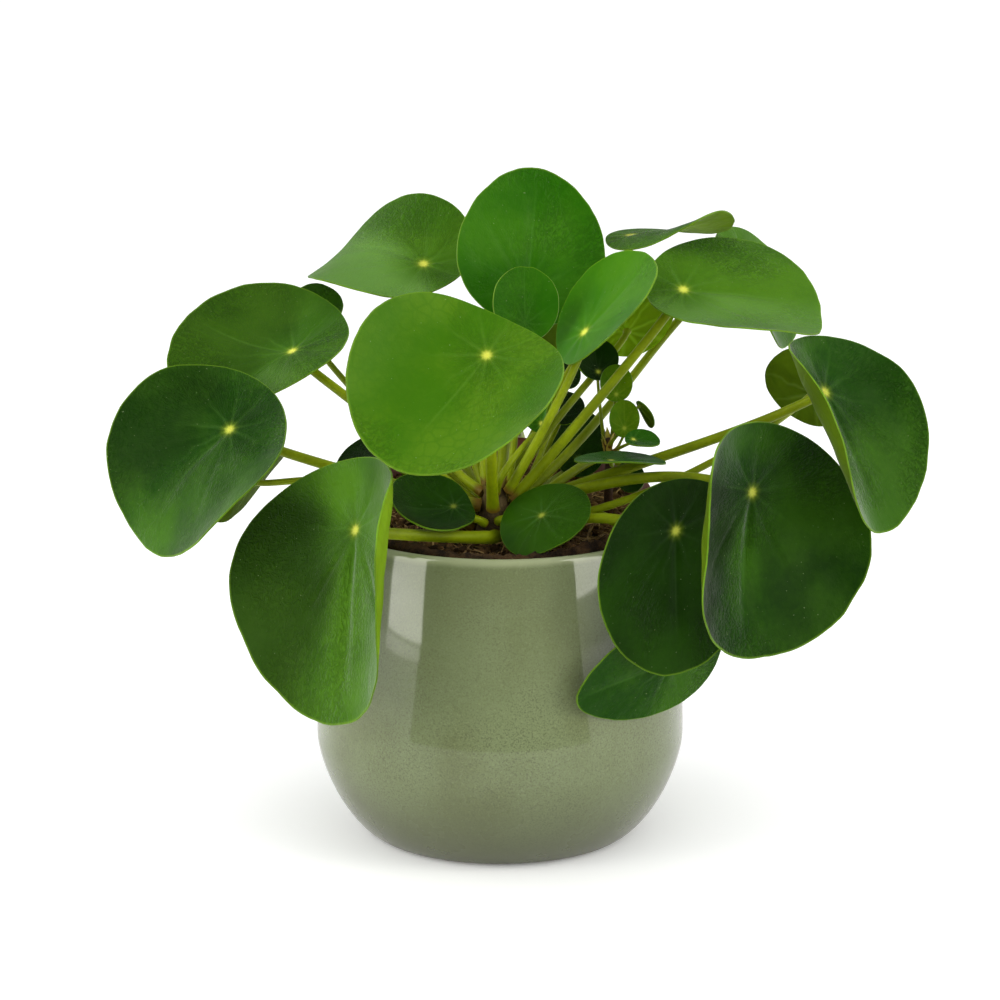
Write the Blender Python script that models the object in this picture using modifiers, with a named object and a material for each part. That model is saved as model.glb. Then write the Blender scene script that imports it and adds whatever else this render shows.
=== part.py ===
"""A pilea in a glazed pot: outer pot, nursery pot, soil, two stems and forty round leaves on stalks.

Lengths are in millimetres and angles in degrees until they reach Blender, which gets metres and radians.
The origin is the middle of the outer pot's foot, on the ground. +Z is up and -Y is the plant's show side.
"""

from math import atan2, cos, pi, radians, sin
from typing import NamedTuple

import bmesh
import bpy
from mathutils import Matrix, Vector

MM = 0.001
GAP = 0.3  # clearance between pieces that rest on each other

# Outer pot: a turned, round-bellied shell.
POT_HEIGHT = 127.0
BELLY_RADIUS = 74.0
BELLY_HEIGHT = 40.0
RIM_RADIUS = 66.5
FOOT_RADIUS = 51.0
FOOT_CHAMFER = 1.2
POT_WALL = 4.5
POT_FLOOR = 8.8
FLOOR_CORNER = 5.0  # how far the floor's edge lies inside the wall, and how far the wall starts above it
BELLY_EXPONENT = 1.5
POT_STEPS = 36

# Nursery pot: thin tapered plastic, leaning towards the show side inside the outer pot.
LEAN = 11.0
LIP_CENTRE = (0.0, 1.5, 136.0)
LIP_RADIUS = 61.5
LIP_HEIGHT = 6.0
TUB_RADIUS = 58.0
TUB_BASE_RADIUS = 41.0
TUB_HEIGHT = 121.6
TUB_WALL = 1.3
TUB_FOOT = 2.5  # size of the slanted corner under the tub's wall
LIP_EDGE = 0.5  # size of the lip's two eased edges
TUB_STEPS = 36
DRAIN_RADIUS = 5.0
DRAIN_CIRCLE = 24.0
DRAIN_COUNT = 6

# Soil, inside the nursery pot and leaning with it.
SOIL_DROP = 7.0  # how far its edge lies below the lip
SOIL_CROWN = 1.0  # how far its middle stands above its edge
SOIL_FOOT = 3.0
POCKET_STEPS = 16

# Stems, as (x, y) of the axis and heights above the ground.
MAIN_AXIS = (-2.0, -20.0)
MAIN_BOTTOM = 106.0
MAIN_TOP = 149.0
MAIN_RADIUS = 8.2
MAIN_TAPER = 0.22
TAPER_FROM = 126.0
PUP_AXIS = (43.0, -4.0)
PUP_BOTTOM = 118.0
PUP_TOP = 161.5
PUP_RADIUS = 2.0
PUP_TAPER = 0.02
PUP_TAPER_FROM = 128.0
STEM_STEPS = 14
SCAR_SHARE = 0.97  # the stems' radius between two leaf scars, as a share of that at a scar

# Leaves.
BLADE_THICKNESS = 1.0
SMALL_LEAF = 42.0  # a blade shorter than this gets a coarser mesh
LAST_FACE_SHARE = 0.85  # a stalk meets its blade between the blade's normal and its own general direction
LAST_SPAN_SHARE = 0.35


class Leaf(NamedTuple):
    """One leaf: a round blade and the stalk that joins its underside at the hub.

    facing is (azimuth, lean, spin): where the upper face looks, how far it leans from level, and the
    turn of the tip about the face. curl is (tip, base, left, right): how far each margin bends down
    from the upper face, or up if negative. stalk is (height, azimuth, rise) of its start on the stem,
    and sweep is how far it keeps its first and its last direction, in shares of its length. over, where
    it is given, holds the two points that pull the stalk over the pots' rims.
    """

    name: str
    hub: tuple
    size: tuple  # (length, width)
    hub_share: float  # how far the hub lies from the base margin, in shares of the length
    facing: tuple
    curl: tuple
    stalk: tuple
    sweep: tuple = (0.35, 0.16)
    taper: float = 0.0
    twist: float = 0.0
    over: tuple = ()


MAIN_LEAVES = (
    Leaf("leaf_left_outer", (-105, -25, 169), (80, 87), 0.28, (-119, 42, -32), (38, -20, -29, -31),
         (138, 195, 16), (0.4, 0.08), taper=-0.05),
    Leaf("leaf_left_outer_behind", (-99, 5, 142), (38, 40), 0.4, (152, 48, 0), (10, 5, -15, -15),
         (128, 178, 44), (0.5, 0.08)),
    Leaf("leaf_left_upper", (-83, 14, 193), (74, 75), 0.33, (-133, 24, -79), (-40, -5, 15, -10),
         (134, 170, 53), (0.35, 0.08), taper=0.25),
    Leaf("leaf_left_upper_behind", (-81, 52, 196), (30, 24), 0.3, (-90, 62, 143), (10, 5, -50, -50),
         (137, 150, 28), (0.45, 0.12)),
    Leaf("leaf_back_left_top", (-31, 40, 224), (76, 64), 0.24, (-89, 34, -128), (55, -20, -15, -30),
         (139, 115, 50), (0.2, 0.2), taper=-0.05),
    Leaf("leaf_front_top", (-5, -60, 205), (80, 90), 0.22, (-102, 46, -26), (-15, 5, -45, -55),
         (138, -95, 62), taper=-0.12),
    Leaf("leaf_front_left_low", (-55, -66, 139), (102, 118), 0.27, (-142, 69, 16), (5, -20, -60, -25),
         (127, -90, 9), (0.15, 0.16), taper=-0.2),
    Leaf("leaf_top_upright", (11, 25, 215), (66, 61), 0.21, (-75, 67, 169), (0, 10, -5, -15),
         (143, 75, 68), (0.45, 0.3), taper=-0.15),
    Leaf("leaf_top_young", (10, -2, 207), (30, 27), 0.25, (-80, 68, 178), (-10, 5, -25, -25),
         (146, 10, 80), (0.35, 0.25)),
    Leaf("leaf_top_bright", (33, -5, 204), (54, 52), 0.27, (-152, 48, 163), (-5, 15, -20, -20),
         (144, -30, 58), (0.4, 0.08), taper=0.13),
    Leaf("leaf_right_inner", (51, 26, 199), (40, 38), 0.3, (95, 68, 185), (10, 5, -20, -20),
         (141, 35, 60), (0.35, 0.12)),
    Leaf("leaf_right_upper", (72, 0, 220), (72, 74), 0.21, (-78, 35, 84), (12, 5, 13, -45),
         (140, -5, 50), (0.35, 0.08), taper=0.15),
    Leaf("leaf_back_right_top", (53, 46, 235), (54, 47), 0.19, (183, 9, 156), (-13, -4, 9, 27),
         (138, 65, 40), (0.5, 0.2), taper=0.15, twist=-34),
    Leaf("leaf_back_right", (100, 56.5, 223), (56, 54), 0.28, (-35, 56, 16), (16, 8, 6, -36),
         (136, 30, 33), (0.45, 0.35), taper=0.1),
    Leaf("leaf_right_outer", (126, -27, 184.5), (83, 80), 0.28, (-39, 56, -2), (7, -9, -43, -65),
         (135, -4, 34), (0.17, 0.35), taper=-0.13),
    Leaf("leaf_right_outer_behind", (127, 30, 173), (38, 30), 0.42, (80, 84, 130), (10, 5, -25, -25),
         (131, -33, 10), (0.47, 0.2)),
    Leaf("leaf_right_front", (96, -55, 151), (91, 114), 0.3, (-50, 87, -13), (-20, -10, -30, -60),
         (136, -44, 75), over=((46, -26, 153), (74, -39, 157))),
    Leaf("leaf_front_right_low", (67, -60, 137), (77, 74), 0.26, (-57, 94, 2), (-10, 25, -10, -5),
         (127, -38, 29), (0.5, 0.2), taper=-0.07),
    Leaf("leaf_front_right_lowest", (66.2, -51.3, 83), (70, 44), 0.36, (-54, 105, -79), (0, 0, 0, 0),
         (129, -2, 37), over=((40, -28, 148), (69, -48, 132)), taper=-0.25),
    Leaf("leaf_small_front", (16, -42, 139), (38, 38), 0.5, (-132, 34, -5), (25, 10, 20, 5),
         (133, -80, 37), (0.25, 0.25), taper=-0.1),
    Leaf("leaf_small_left", (-18, -35, 141), (35, 36), 0.23, (-90, 34, -74), (-45, 30, -35, -15),
         (132, -120, 35), (0.35, 0.35)),
    Leaf("leaf_back_left_low", (-46, 22, 151), (36, 34), 0.3, (-152, 27, 0), (15, 10, -25, -25),
         (129, 150, 31), (0.25, 0.35)),
    Leaf("leaf_inner_back", (32, 30, 145), (30, 25), 0.25, (-80, 62, 180), (5, 0, -20, -20),
         (134, 61, 5), (0.6, 0.2)),
    Leaf("leaf_inner_small", (25, 22, 165), (17, 15), 0.25, (-80, 45, 150), (5, 0, -20, -20),
         (129, 70, 18), (0.6, 0.24)),
    Leaf("leaf_inner_top", (27, 30, 178), (17, 15), 0.25, (-60, 45, 180), (5, 0, -20, -20),
         (130, 45, 52), (0.6, 0.1)),
    Leaf("leaf_inner_folded", (16, -8, 168), (26, 22), 0.15, (-140, 72, 185), (5, 0, -75, -75),
         (144, -85, 51), (0.5, 0.08)),
    Leaf("leaf_rear_left", (-36, 86, 120), (58, 58), 0.28, (115, 60, 5), (15, 10, -15, -15),
         (133, 125, 41), over=((-19, 27, 166), (-36, 66, 154))),
    Leaf("leaf_rear_middle", (12, 94, 112), (60, 58), 0.28, (85, 62, -5), (15, 10, -15, -15),
         (135, 94, 25), over=((6, 33, 172), (10, 83, 152))),
    Leaf("leaf_rear_far_left", (-80, 50, 106), (54, 54), 0.28, (162, 62, 0), (15, 10, -15, -15),
         (131, 91, 45), over=((-25, 29, 152), (-61, 36, 163))),
    Leaf("leaf_rear_right", (58, 74, 104), (56, 56), 0.28, (45, 62, 0), (15, 10, -15, -15),
         (131, 22, 14), over=((53, 20, 166), (59, 64, 142))),
    Leaf("leaf_rear_top", (20, 62, 206), (52, 50), 0.25, (80, 42, 0), (20, 10, -15, -15),
         (145, 125, 65), (0.25, 0.12)),
    Leaf("leaf_rear_upper", (-30, 62, 178), (54, 54), 0.27, (112, 48, 0), (20, 10, -15, -15),
         (142, 146, 23), (0.42, 0.34)),
)

PUP_LEAVES = (
    Leaf("pup_leaf_front", (49, -8, 166), (15, 12), 0.25, (-90, 75, 180), (5, 0, -20, -20),
         (158, -80, 50), (0.5, 0.16)),
    Leaf("pup_leaf_top", (46, 0, 178), (15, 13), 0.2, (-90, 75, 180), (5, 0, -20, -20),
         (156, 70, 73), (0.4, 0.25)),
    Leaf("pup_leaf_right", (52, -24, 165), (14, 12), 0.25, (-80, 22, 85), (5, 0, -20, -20),
         (156, -35, 30), (0.4, 0.08)),
    Leaf("pup_leaf_right_upper", (56, 4, 173), (13, 9), 0.15, (30, 60, 0), (5, 0, -20, -20),
         (161, 35, 75), (0.45, 0.35)),
    Leaf("pup_leaf_level", (43, -31, 158.4), (36, 32), 0.4, (90, 5, -90), (5, 0, -10, -10),
         (153, -75, -12), (0.25, 0.12)),
    Leaf("pup_leaf_low", (51, -9, 149), (13, 12), 0.3, (-80, 55, 0), (5, 0, -20, -20),
         (151, -25, 16), (0.45, 0.16)),
    Leaf("pup_leaf_tall", (39, 6, 186), (18, 18), 0.2, (-75, 60, 180), (5, 0, -25, -25),
         (157, 130, 78), (0.25, 0.12)),
    Leaf("pup_leaf_bud", (51, 2, 164), (8, 7), 0.2, (-60, 50, 150), (5, 0, -20, -20),
         (154, 10, 65), (0.5, 0.12)),
)


class Stem(NamedTuple):
    """A stem's axis and how its radius shrinks with height."""

    name: str
    axis: tuple
    bottom: float
    top: float
    radius: float
    taper: float
    taper_from: float
    stalk_gap: float
    stalk_radius: tuple  # (at the stem, per mm of blade, at the blade, per mm of blade)

    def radius_at(self, height):
        """The radius at a height above the ground."""
        return self.radius - max(height - self.taper_from, 0.0) * self.taper


MAIN_STEM = Stem("main_stem", MAIN_AXIS, MAIN_BOTTOM, MAIN_TOP, MAIN_RADIUS, MAIN_TAPER, TAPER_FROM,
                 0.2, (1.0, 0.016, 0.8, 0.012))
PUP_STEM = Stem("pup_stem", PUP_AXIS, PUP_BOTTOM, PUP_TOP, PUP_RADIUS, PUP_TAPER, PUP_TAPER_FROM,
                0.15, (0.5, 0.012, 0.4, 0.01))

GLAZE = ("sage_glaze", (0.33, 0.37, 0.26), 0.18)
PLASTIC = ("brown_plastic", (0.22, 0.06, 0.04), 0.45)
PEAT = ("peat", (0.045, 0.025, 0.015), 0.95)
BARK = ("stem_bark", (0.16, 0.11, 0.04), 0.7)
LEAF_GREEN = ("leaf_green", (0.05, 0.19, 0.02), 0.35)
YOUNG_GREEN = ("young_leaf_green", (0.13, 0.33, 0.03), 0.35)
YOUNG_LEAVES = {"leaf_top_young", "leaf_top_bright", "leaf_top_upright", "leaf_right_inner",
                "leaf_inner_folded", "leaf_front_top"}


def clear_scene():
    """Removes whatever the scene holds."""
    for item in list(bpy.data.objects):
        bpy.data.objects.remove(item)


def new_collection(name):
    """A new collection in the scene."""
    collection = bpy.data.collections.new(name)
    bpy.context.scene.collection.children.link(collection)
    return collection


def material(look):
    """The named material, made once and shared."""
    name, colour, roughness = look
    made = bpy.data.materials.get(name)
    if made is None:
        made = bpy.data.materials.new(name)
        made.use_nodes = True
        shader = made.node_tree.nodes["Principled BSDF"]
        shader.inputs["Base Color"].default_value = (*colour, 1.0)
        shader.inputs["Roughness"].default_value = roughness
        shader.inputs["Metallic"].default_value = 0.0
    return made


def add_object(name, mesh, collection, look=None):
    """An object of the mesh: a finished piece where it has a look, or else a cutter."""
    made = bpy.data.objects.new(name, mesh)
    collection.objects.link(made)
    if look:
        mesh.materials.append(material(look))
        mesh.shade_smooth()
        mesh.set_sharp_from_angle(angle=radians(40))
    else:
        made.hide_render = True
        made.display_type = "WIRE"
    return made


def metres(point):
    """A point given in millimetres, as a vector in metres."""
    return Vector(point) * MM


def profile_object(name, profile, steps, collection, look=None):
    """A turned solid: a profile of (radius, height), from the top of the axis round its outer side."""
    mesh = bpy.data.meshes.new(name)
    points = [metres((radius, 0.0, height)) for radius, height in profile]
    mesh.from_pydata(points, [(i, i + 1) for i in range(len(points) - 1)], [])
    made = add_object(name, mesh, collection, look)
    turn = made.modifiers.new("turn", "SCREW")
    turn.steps = steps
    turn.render_steps = steps
    turn.use_merge_vertices = True
    turn.merge_threshold = 0.00001
    turn.use_smooth_shade = True
    return made


def cut(target, cutter):
    """Takes the cutter out of the target with a live Boolean."""
    step = target.modifiers.new("cut_" + cutter.name, "BOOLEAN")
    step.operation = "DIFFERENCE"
    step.solver = "EXACT"
    step.object = cutter


def pot_outline(inset, bottom, count):
    """The pot's wall line from the bottom to the rim, set in by inset, as (radius, height)."""
    rise = BELLY_HEIGHT / (POT_HEIGHT - BELLY_HEIGHT)
    points = []
    for i in range(count):
        share = i / (count - 1)
        height = bottom + (POT_HEIGHT - bottom) * share ** (1.0 + rise)
        if height < BELLY_HEIGHT:
            drop = 1.0 - height / BELLY_HEIGHT
            bulge = (1.0 - drop ** BELLY_EXPONENT) ** (1.0 / BELLY_EXPONENT)
            radius = FOOT_RADIUS + (BELLY_RADIUS - FOOT_RADIUS) * bulge
        else:
            climb = (height - BELLY_HEIGHT) / (POT_HEIGHT - BELLY_HEIGHT)
            radius = BELLY_RADIUS - (BELLY_RADIUS - RIM_RADIUS) * climb * climb
        points.append((radius - inset, height))
    return points


def build_pot(parts):
    """The glazed outer pot: flat foot, round belly, wall drawn in to a rounded rim."""
    outer = pot_outline(0.0, FOOT_CHAMFER, 13)
    inner = pot_outline(POT_WALL, POT_FLOOR + FLOOR_CORNER, 8)
    half = POT_WALL / 2
    middle = RIM_RADIUS - half
    rim = [(middle - half * cos(pi * i / 6), POT_HEIGHT - half + half * sin(pi * i / 6)) for i in range(7)]
    floor_edge = (inner[0][0] - FLOOR_CORNER, POT_FLOOR)
    profile = [(0.0, POT_FLOOR), floor_edge, *inner[:-1], *rim, *reversed(outer[:-1])]
    profile += [(FOOT_RADIUS - FOOT_CHAMFER, 0.0), (0.0, 0.0)]
    return profile_object("outer_pot", profile, POT_STEPS, parts, GLAZE)


def tub_radius(depth):
    """The nursery pot's outer radius below its lip plane."""
    return TUB_RADIUS + (TUB_BASE_RADIUS - TUB_RADIUS) * depth / TUB_HEIGHT


def lean_in(item):
    """Puts a piece built at the lip plane into the leaning nursery pot's place."""
    item.location = metres(LIP_CENTRE)
    item.rotation_euler = (radians(LEAN), 0.0, 0.0)


def build_nursery_pot(parts, cutters):
    """The thin plastic pot: folded lip, tapered wall, flat base with drain holes."""
    base = TUB_HEIGHT
    floor = TUB_WALL - base
    profile = [
        (0.0, floor),
        (TUB_BASE_RADIUS - TUB_WALL - TUB_FOOT, floor),
        (tub_radius(-floor - TUB_FOOT) - TUB_WALL, floor + TUB_FOOT),
        (tub_radius(LIP_HEIGHT) - TUB_WALL, -LIP_HEIGHT),
        (LIP_RADIUS - 2 * TUB_WALL, -TUB_WALL),
        (LIP_RADIUS - TUB_WALL, 0.0),
        (LIP_RADIUS - LIP_EDGE, 0.0),
        (LIP_RADIUS, -LIP_EDGE),
        (LIP_RADIUS, LIP_EDGE - LIP_HEIGHT),
        (LIP_RADIUS - LIP_EDGE, -LIP_HEIGHT),
        (tub_radius(LIP_HEIGHT), -LIP_HEIGHT),
        (tub_radius(base - TUB_FOOT), TUB_FOOT - base),
        (TUB_BASE_RADIUS - TUB_FOOT, -base),
        (0.0, -base),
    ]
    tub = profile_object("nursery_pot", profile, TUB_STEPS, parts, PLASTIC)
    lean_in(tub)
    for i in range(DRAIN_COUNT):
        turn = 2 * pi * i / DRAIN_COUNT
        shape = bmesh.new()
        bmesh.ops.create_cone(shape, cap_ends=True, segments=10, radius1=DRAIN_RADIUS * MM,
                              radius2=DRAIN_RADIUS * MM, depth=6 * TUB_WALL * MM)
        place = Matrix.Translation(metres((DRAIN_CIRCLE * cos(turn), DRAIN_CIRCLE * sin(turn), -base)))
        bmesh.ops.transform(shape, matrix=place, verts=shape.verts)
        mesh = bpy.data.meshes.new("drain")
        shape.to_mesh(mesh)
        shape.free()
        drain = add_object(f"drain_{i + 1}", mesh, cutters)
        lean_in(drain)
        cut(tub, drain)
    return tub


def build_soil(parts, cutters):
    """The peat in the nursery pot, with a pocket for each stem."""
    top = -SOIL_DROP
    bottom = GAP + TUB_WALL - TUB_HEIGHT
    inset = TUB_WALL + GAP
    edge = tub_radius(LIP_HEIGHT) - inset
    profile = [
        (0.0, top + SOIL_CROWN),
        (edge * 0.45, top + SOIL_CROWN * 0.8),
        (edge * 0.8, top + SOIL_CROWN * 0.3),
        (edge - 1.0, top - 1.0),
        (edge - 0.2, -LIP_HEIGHT - 0.8),
        (tub_radius(TUB_HEIGHT - TUB_WALL - SOIL_FOOT) - inset, bottom + SOIL_FOOT),
        (TUB_BASE_RADIUS - inset - SOIL_FOOT, bottom),
        (0.0, bottom),
    ]
    soil = profile_object("soil", profile, TUB_STEPS, parts, PEAT)
    lean_in(soil)
    for stem in (MAIN_STEM, PUP_STEM):
        wide = stem.radius + GAP
        deep = stem.bottom - GAP
        high = LIP_CENTRE[2] + LIP_RADIUS
        hole = [(0.0, high), (wide, high), (wide, deep), (0.0, deep)]
        pocket = profile_object(stem.name + "_pocket", hole, POCKET_STEPS, cutters)
        pocket.location = metres((*stem.axis, 0.0))
        cut(soil, pocket)
    return soil


def build_stem(stem, parts, rings):
    """A stem with the slight swellings that old leaf scars leave."""
    profile = [(0.0, stem.top)]
    for i in range(rings * 2 + 1):
        height = stem.top - 1.0 - (stem.top - stem.bottom - 1.0) * i / (rings * 2)
        scar = SCAR_SHARE if i % 2 else 1.0
        profile.append((stem.radius_at(height) * scar, height))
    profile.append((0.0, stem.bottom))
    made = profile_object(stem.name, profile, STEM_STEPS, parts, BARK)
    made.location = metres((*stem.axis, 0.0))
    return made


def blade_point(leaf, along, across):
    """The point of the bent blade for a point of the flat one, in the blade's own frame."""
    length, width = leaf.size
    tip, base, left, right = leaf.curl
    side = 1.0 if across >= 0.0 else -1.0
    bend = radians(left if across >= 0.0 else right) / (width / 2)
    bend = bend if abs(bend) > 1e-6 else 1e-6
    sideways = sin(bend * abs(across)) / bend
    sink = -(1.0 - cos(bend * abs(across))) / bend
    reach = (1.0 - leaf.hub_share) * length if along >= 0.0 else leaf.hub_share * length
    droop = radians(tip if along >= 0.0 else base) / reach
    droop = droop if abs(droop) > 1e-6 else 1e-6
    turn = droop * abs(along)
    radius = 1.0 / droop
    forward = sin(turn) * (radius + sink) * (1.0 if along >= 0.0 else -1.0)
    height = (radius + sink) * cos(turn) - radius
    height += sin(radians(leaf.twist)) * across * along / length
    return Vector((forward, sideways * side, height))


def facing_matrix(leaf):
    """The blade's turn: x to the tip, y to its left side, z out of the upper face."""
    azimuth, lean, spin = (radians(angle) for angle in leaf.facing)
    return Matrix.Rotation(azimuth, 3, "Z") @ Matrix.Rotation(lean, 3, "Y") @ Matrix.Rotation(spin, 3, "Z")


def blade_mesh(leaf):
    """The blade's upper face: a spun row of points, spread to the outline and bent."""
    length, width = leaf.size
    small = length < SMALL_LEAF
    rings = 2 if small else 3
    steps = 12 if small else 16
    shape = bmesh.new()
    row = [shape.verts.new((ring / rings, 0.0, 0.0)) for ring in range(rings + 1)]
    edges = [shape.edges.new(pair) for pair in zip(row[:-1], row[1:])]
    bmesh.ops.spin(shape, geom=row + edges, axis=(0, 0, 1), cent=(0, 0, 0), angle=2 * pi,
                   steps=steps, use_duplicate=False)
    bmesh.ops.remove_doubles(shape, verts=shape.verts, dist=1e-4)
    for vert in shape.verts:
        share = vert.co.xy.length
        turn = atan2(vert.co.y, vert.co.x)
        along = share * length * (0.5 - leaf.hub_share + 0.5 * cos(turn))
        across = share * width / 2 * sin(turn) * (1.0 + leaf.taper * cos(turn))
        vert.co = blade_point(leaf, along, across) * MM
    bmesh.ops.recalc_face_normals(shape, faces=shape.faces)
    middle = min(shape.verts, key=lambda vert: vert.co.length)
    if middle.link_faces[0].normal.z < 0.0:
        bmesh.ops.reverse_faces(shape, faces=shape.faces)
    mesh = bpy.data.meshes.new(leaf.name)
    shape.to_mesh(mesh)
    shape.free()
    return mesh


def stalk_route(leaf, stem, count):
    """The stalk's points from the stem to the middle of the blade's thickness, with its radii."""
    height, azimuth, rise = leaf.stalk
    thick, thick_grow, thin, thin_grow = stem.stalk_radius
    start_radius = thick + thick_grow * leaf.size[0]
    end_radius = thin + thin_grow * leaf.size[0]
    flat = Vector((cos(radians(azimuth)), sin(radians(azimuth)), 0.0))
    first = flat * cos(radians(rise)) + Vector((0.0, 0.0, sin(radians(rise))))
    out = stem.radius_at(height) + stem.stalk_gap + start_radius * abs(sin(radians(rise)))
    start = Vector((*stem.axis, height)) + flat * out
    face = facing_matrix(leaf) @ Vector((0.0, 0.0, 1.0))
    end = Vector(leaf.hub) - face * BLADE_THICKNESS * 0.5
    span = end - start
    last = (face * LAST_FACE_SHARE + span.normalized() * LAST_SPAN_SHARE).normalized()
    if leaf.over:
        lift, drop = (Vector(point) for point in leaf.over)
    else:
        lift = start + first * span.length * leaf.sweep[0]
        drop = end - last * span.length * leaf.sweep[1]
    points = []
    for i in range(count):
        s = i / (count - 1)
        t = 1.0 - s
        place = start * t ** 3 + lift * 3 * t * t * s + drop * 3 * t * s * s + end * s ** 3
        points.append((place, start_radius + (end_radius - start_radius) * s))
    return points


def stalk_object(leaf, stem, cutters):
    """The stalk as a closed tube, drawn as a tapered curve and made a mesh."""
    small = leaf.size[0] < SMALL_LEAF
    route = stalk_route(leaf, stem, 7 if small else 9)
    curve = bpy.data.curves.new(leaf.name + "_stalk_curve", "CURVE")
    curve.dimensions = "3D"
    curve.bevel_depth = MM
    curve.bevel_resolution = 1
    curve.use_fill_caps = True
    spline = curve.splines.new("POLY")
    spline.points.add(len(route) - 1)
    for point, (place, radius) in zip(spline.points, route):
        point.co = (*metres(place), 1.0)
        point.radius = radius
    drawn = bpy.data.objects.new(curve.name, curve)
    cutters.objects.link(drawn)
    depsgraph = bpy.context.evaluated_depsgraph_get()
    mesh = bpy.data.meshes.new_from_object(drawn.evaluated_get(depsgraph))
    mesh.name = leaf.name + "_stalk"
    shape = bmesh.new()
    shape.from_mesh(mesh)
    bmesh.ops.remove_doubles(shape, verts=shape.verts, dist=1e-6)
    bmesh.ops.recalc_face_normals(shape, faces=shape.faces)
    shape.to_mesh(mesh)
    shape.free()
    made = add_object(mesh.name, mesh, cutters)
    made.matrix_world = drawn.matrix_world
    bpy.data.objects.remove(drawn)
    return made


def build_leaf(leaf, stem, parts, cutters):
    """One leaf: the blade gets its thickness, and its stalk is joined to it."""
    look = YOUNG_GREEN if stem is PUP_STEM or leaf.name in YOUNG_LEAVES else LEAF_GREEN
    blade = add_object(leaf.name, blade_mesh(leaf), parts, look)
    blade.matrix_world = Matrix.Translation(metres(leaf.hub)) @ facing_matrix(leaf).to_4x4()
    body = blade.modifiers.new("thickness", "SOLIDIFY")
    body.thickness = BLADE_THICKNESS * MM
    body.offset = -1.0
    joint = blade.modifiers.new("stalk", "BOOLEAN")
    joint.operation = "UNION"
    joint.solver = "EXACT"
    joint.object = stalk_object(leaf, stem, cutters)
    return blade


def main():
    """Builds the plant and its pots."""
    clear_scene()
    parts = new_collection("potted_pilea")
    cutters = new_collection("potted_pilea_cutters")
    build_pot(parts)
    build_nursery_pot(parts, cutters)
    build_soil(parts, cutters)
    build_stem(MAIN_STEM, parts, 5)
    build_stem(PUP_STEM, parts, 4)
    for leaf in MAIN_LEAVES:
        build_leaf(leaf, MAIN_STEM, parts, cutters)
    for leaf in PUP_LEAVES:
        build_leaf(leaf, PUP_STEM, parts, cutters)


main()
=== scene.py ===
"""Looks of a pilea in a glazed pot: both pots, the peat, two stems and forty round leaves on their stalks.

Lengths are in millimetres and angles in degrees until they reach Blender, which gets metres and radians.
The origin is the middle of the outer pot's foot, on the ground. +Z is up and -Y is the plant's show side.
"""

import logging
from collections.abc import Sequence
from dataclasses import dataclass, field
from enum import Enum
from math import cos, exp, pi, radians, sin

import bpy
import numpy as np
from mathutils import Matrix, Vector, noise


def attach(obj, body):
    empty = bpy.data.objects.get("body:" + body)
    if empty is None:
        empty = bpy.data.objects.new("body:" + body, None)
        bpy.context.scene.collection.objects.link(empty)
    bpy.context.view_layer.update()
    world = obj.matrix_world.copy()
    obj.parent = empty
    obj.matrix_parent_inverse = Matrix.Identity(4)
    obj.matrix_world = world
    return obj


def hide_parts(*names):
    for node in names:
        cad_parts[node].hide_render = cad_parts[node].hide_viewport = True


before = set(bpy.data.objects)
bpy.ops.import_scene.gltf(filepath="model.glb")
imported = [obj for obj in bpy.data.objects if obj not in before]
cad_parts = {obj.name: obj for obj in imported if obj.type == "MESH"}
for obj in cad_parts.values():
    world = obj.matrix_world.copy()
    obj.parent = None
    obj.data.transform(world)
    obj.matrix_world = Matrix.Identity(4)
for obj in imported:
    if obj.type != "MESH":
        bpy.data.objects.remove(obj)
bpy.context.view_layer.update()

LOG = logging.getLogger("potted_pilea")
MM = 0.001
BODY = "root"
UV_UNIT = 100.0  # millimetres to one unit of a blade's own map

Colour = tuple[float, float, float]
Point = tuple[float, float, float]
Pair = tuple[float, float]
Values = np.ndarray
Socket = bpy.types.NodeSocket
NodeTree = bpy.types.NodeTree
Material = bpy.types.Material
Mesh = bpy.types.Mesh
Piece = bpy.types.Object


# ---------------------------------------------------------------------------------------------------------
# Node graphs


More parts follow.
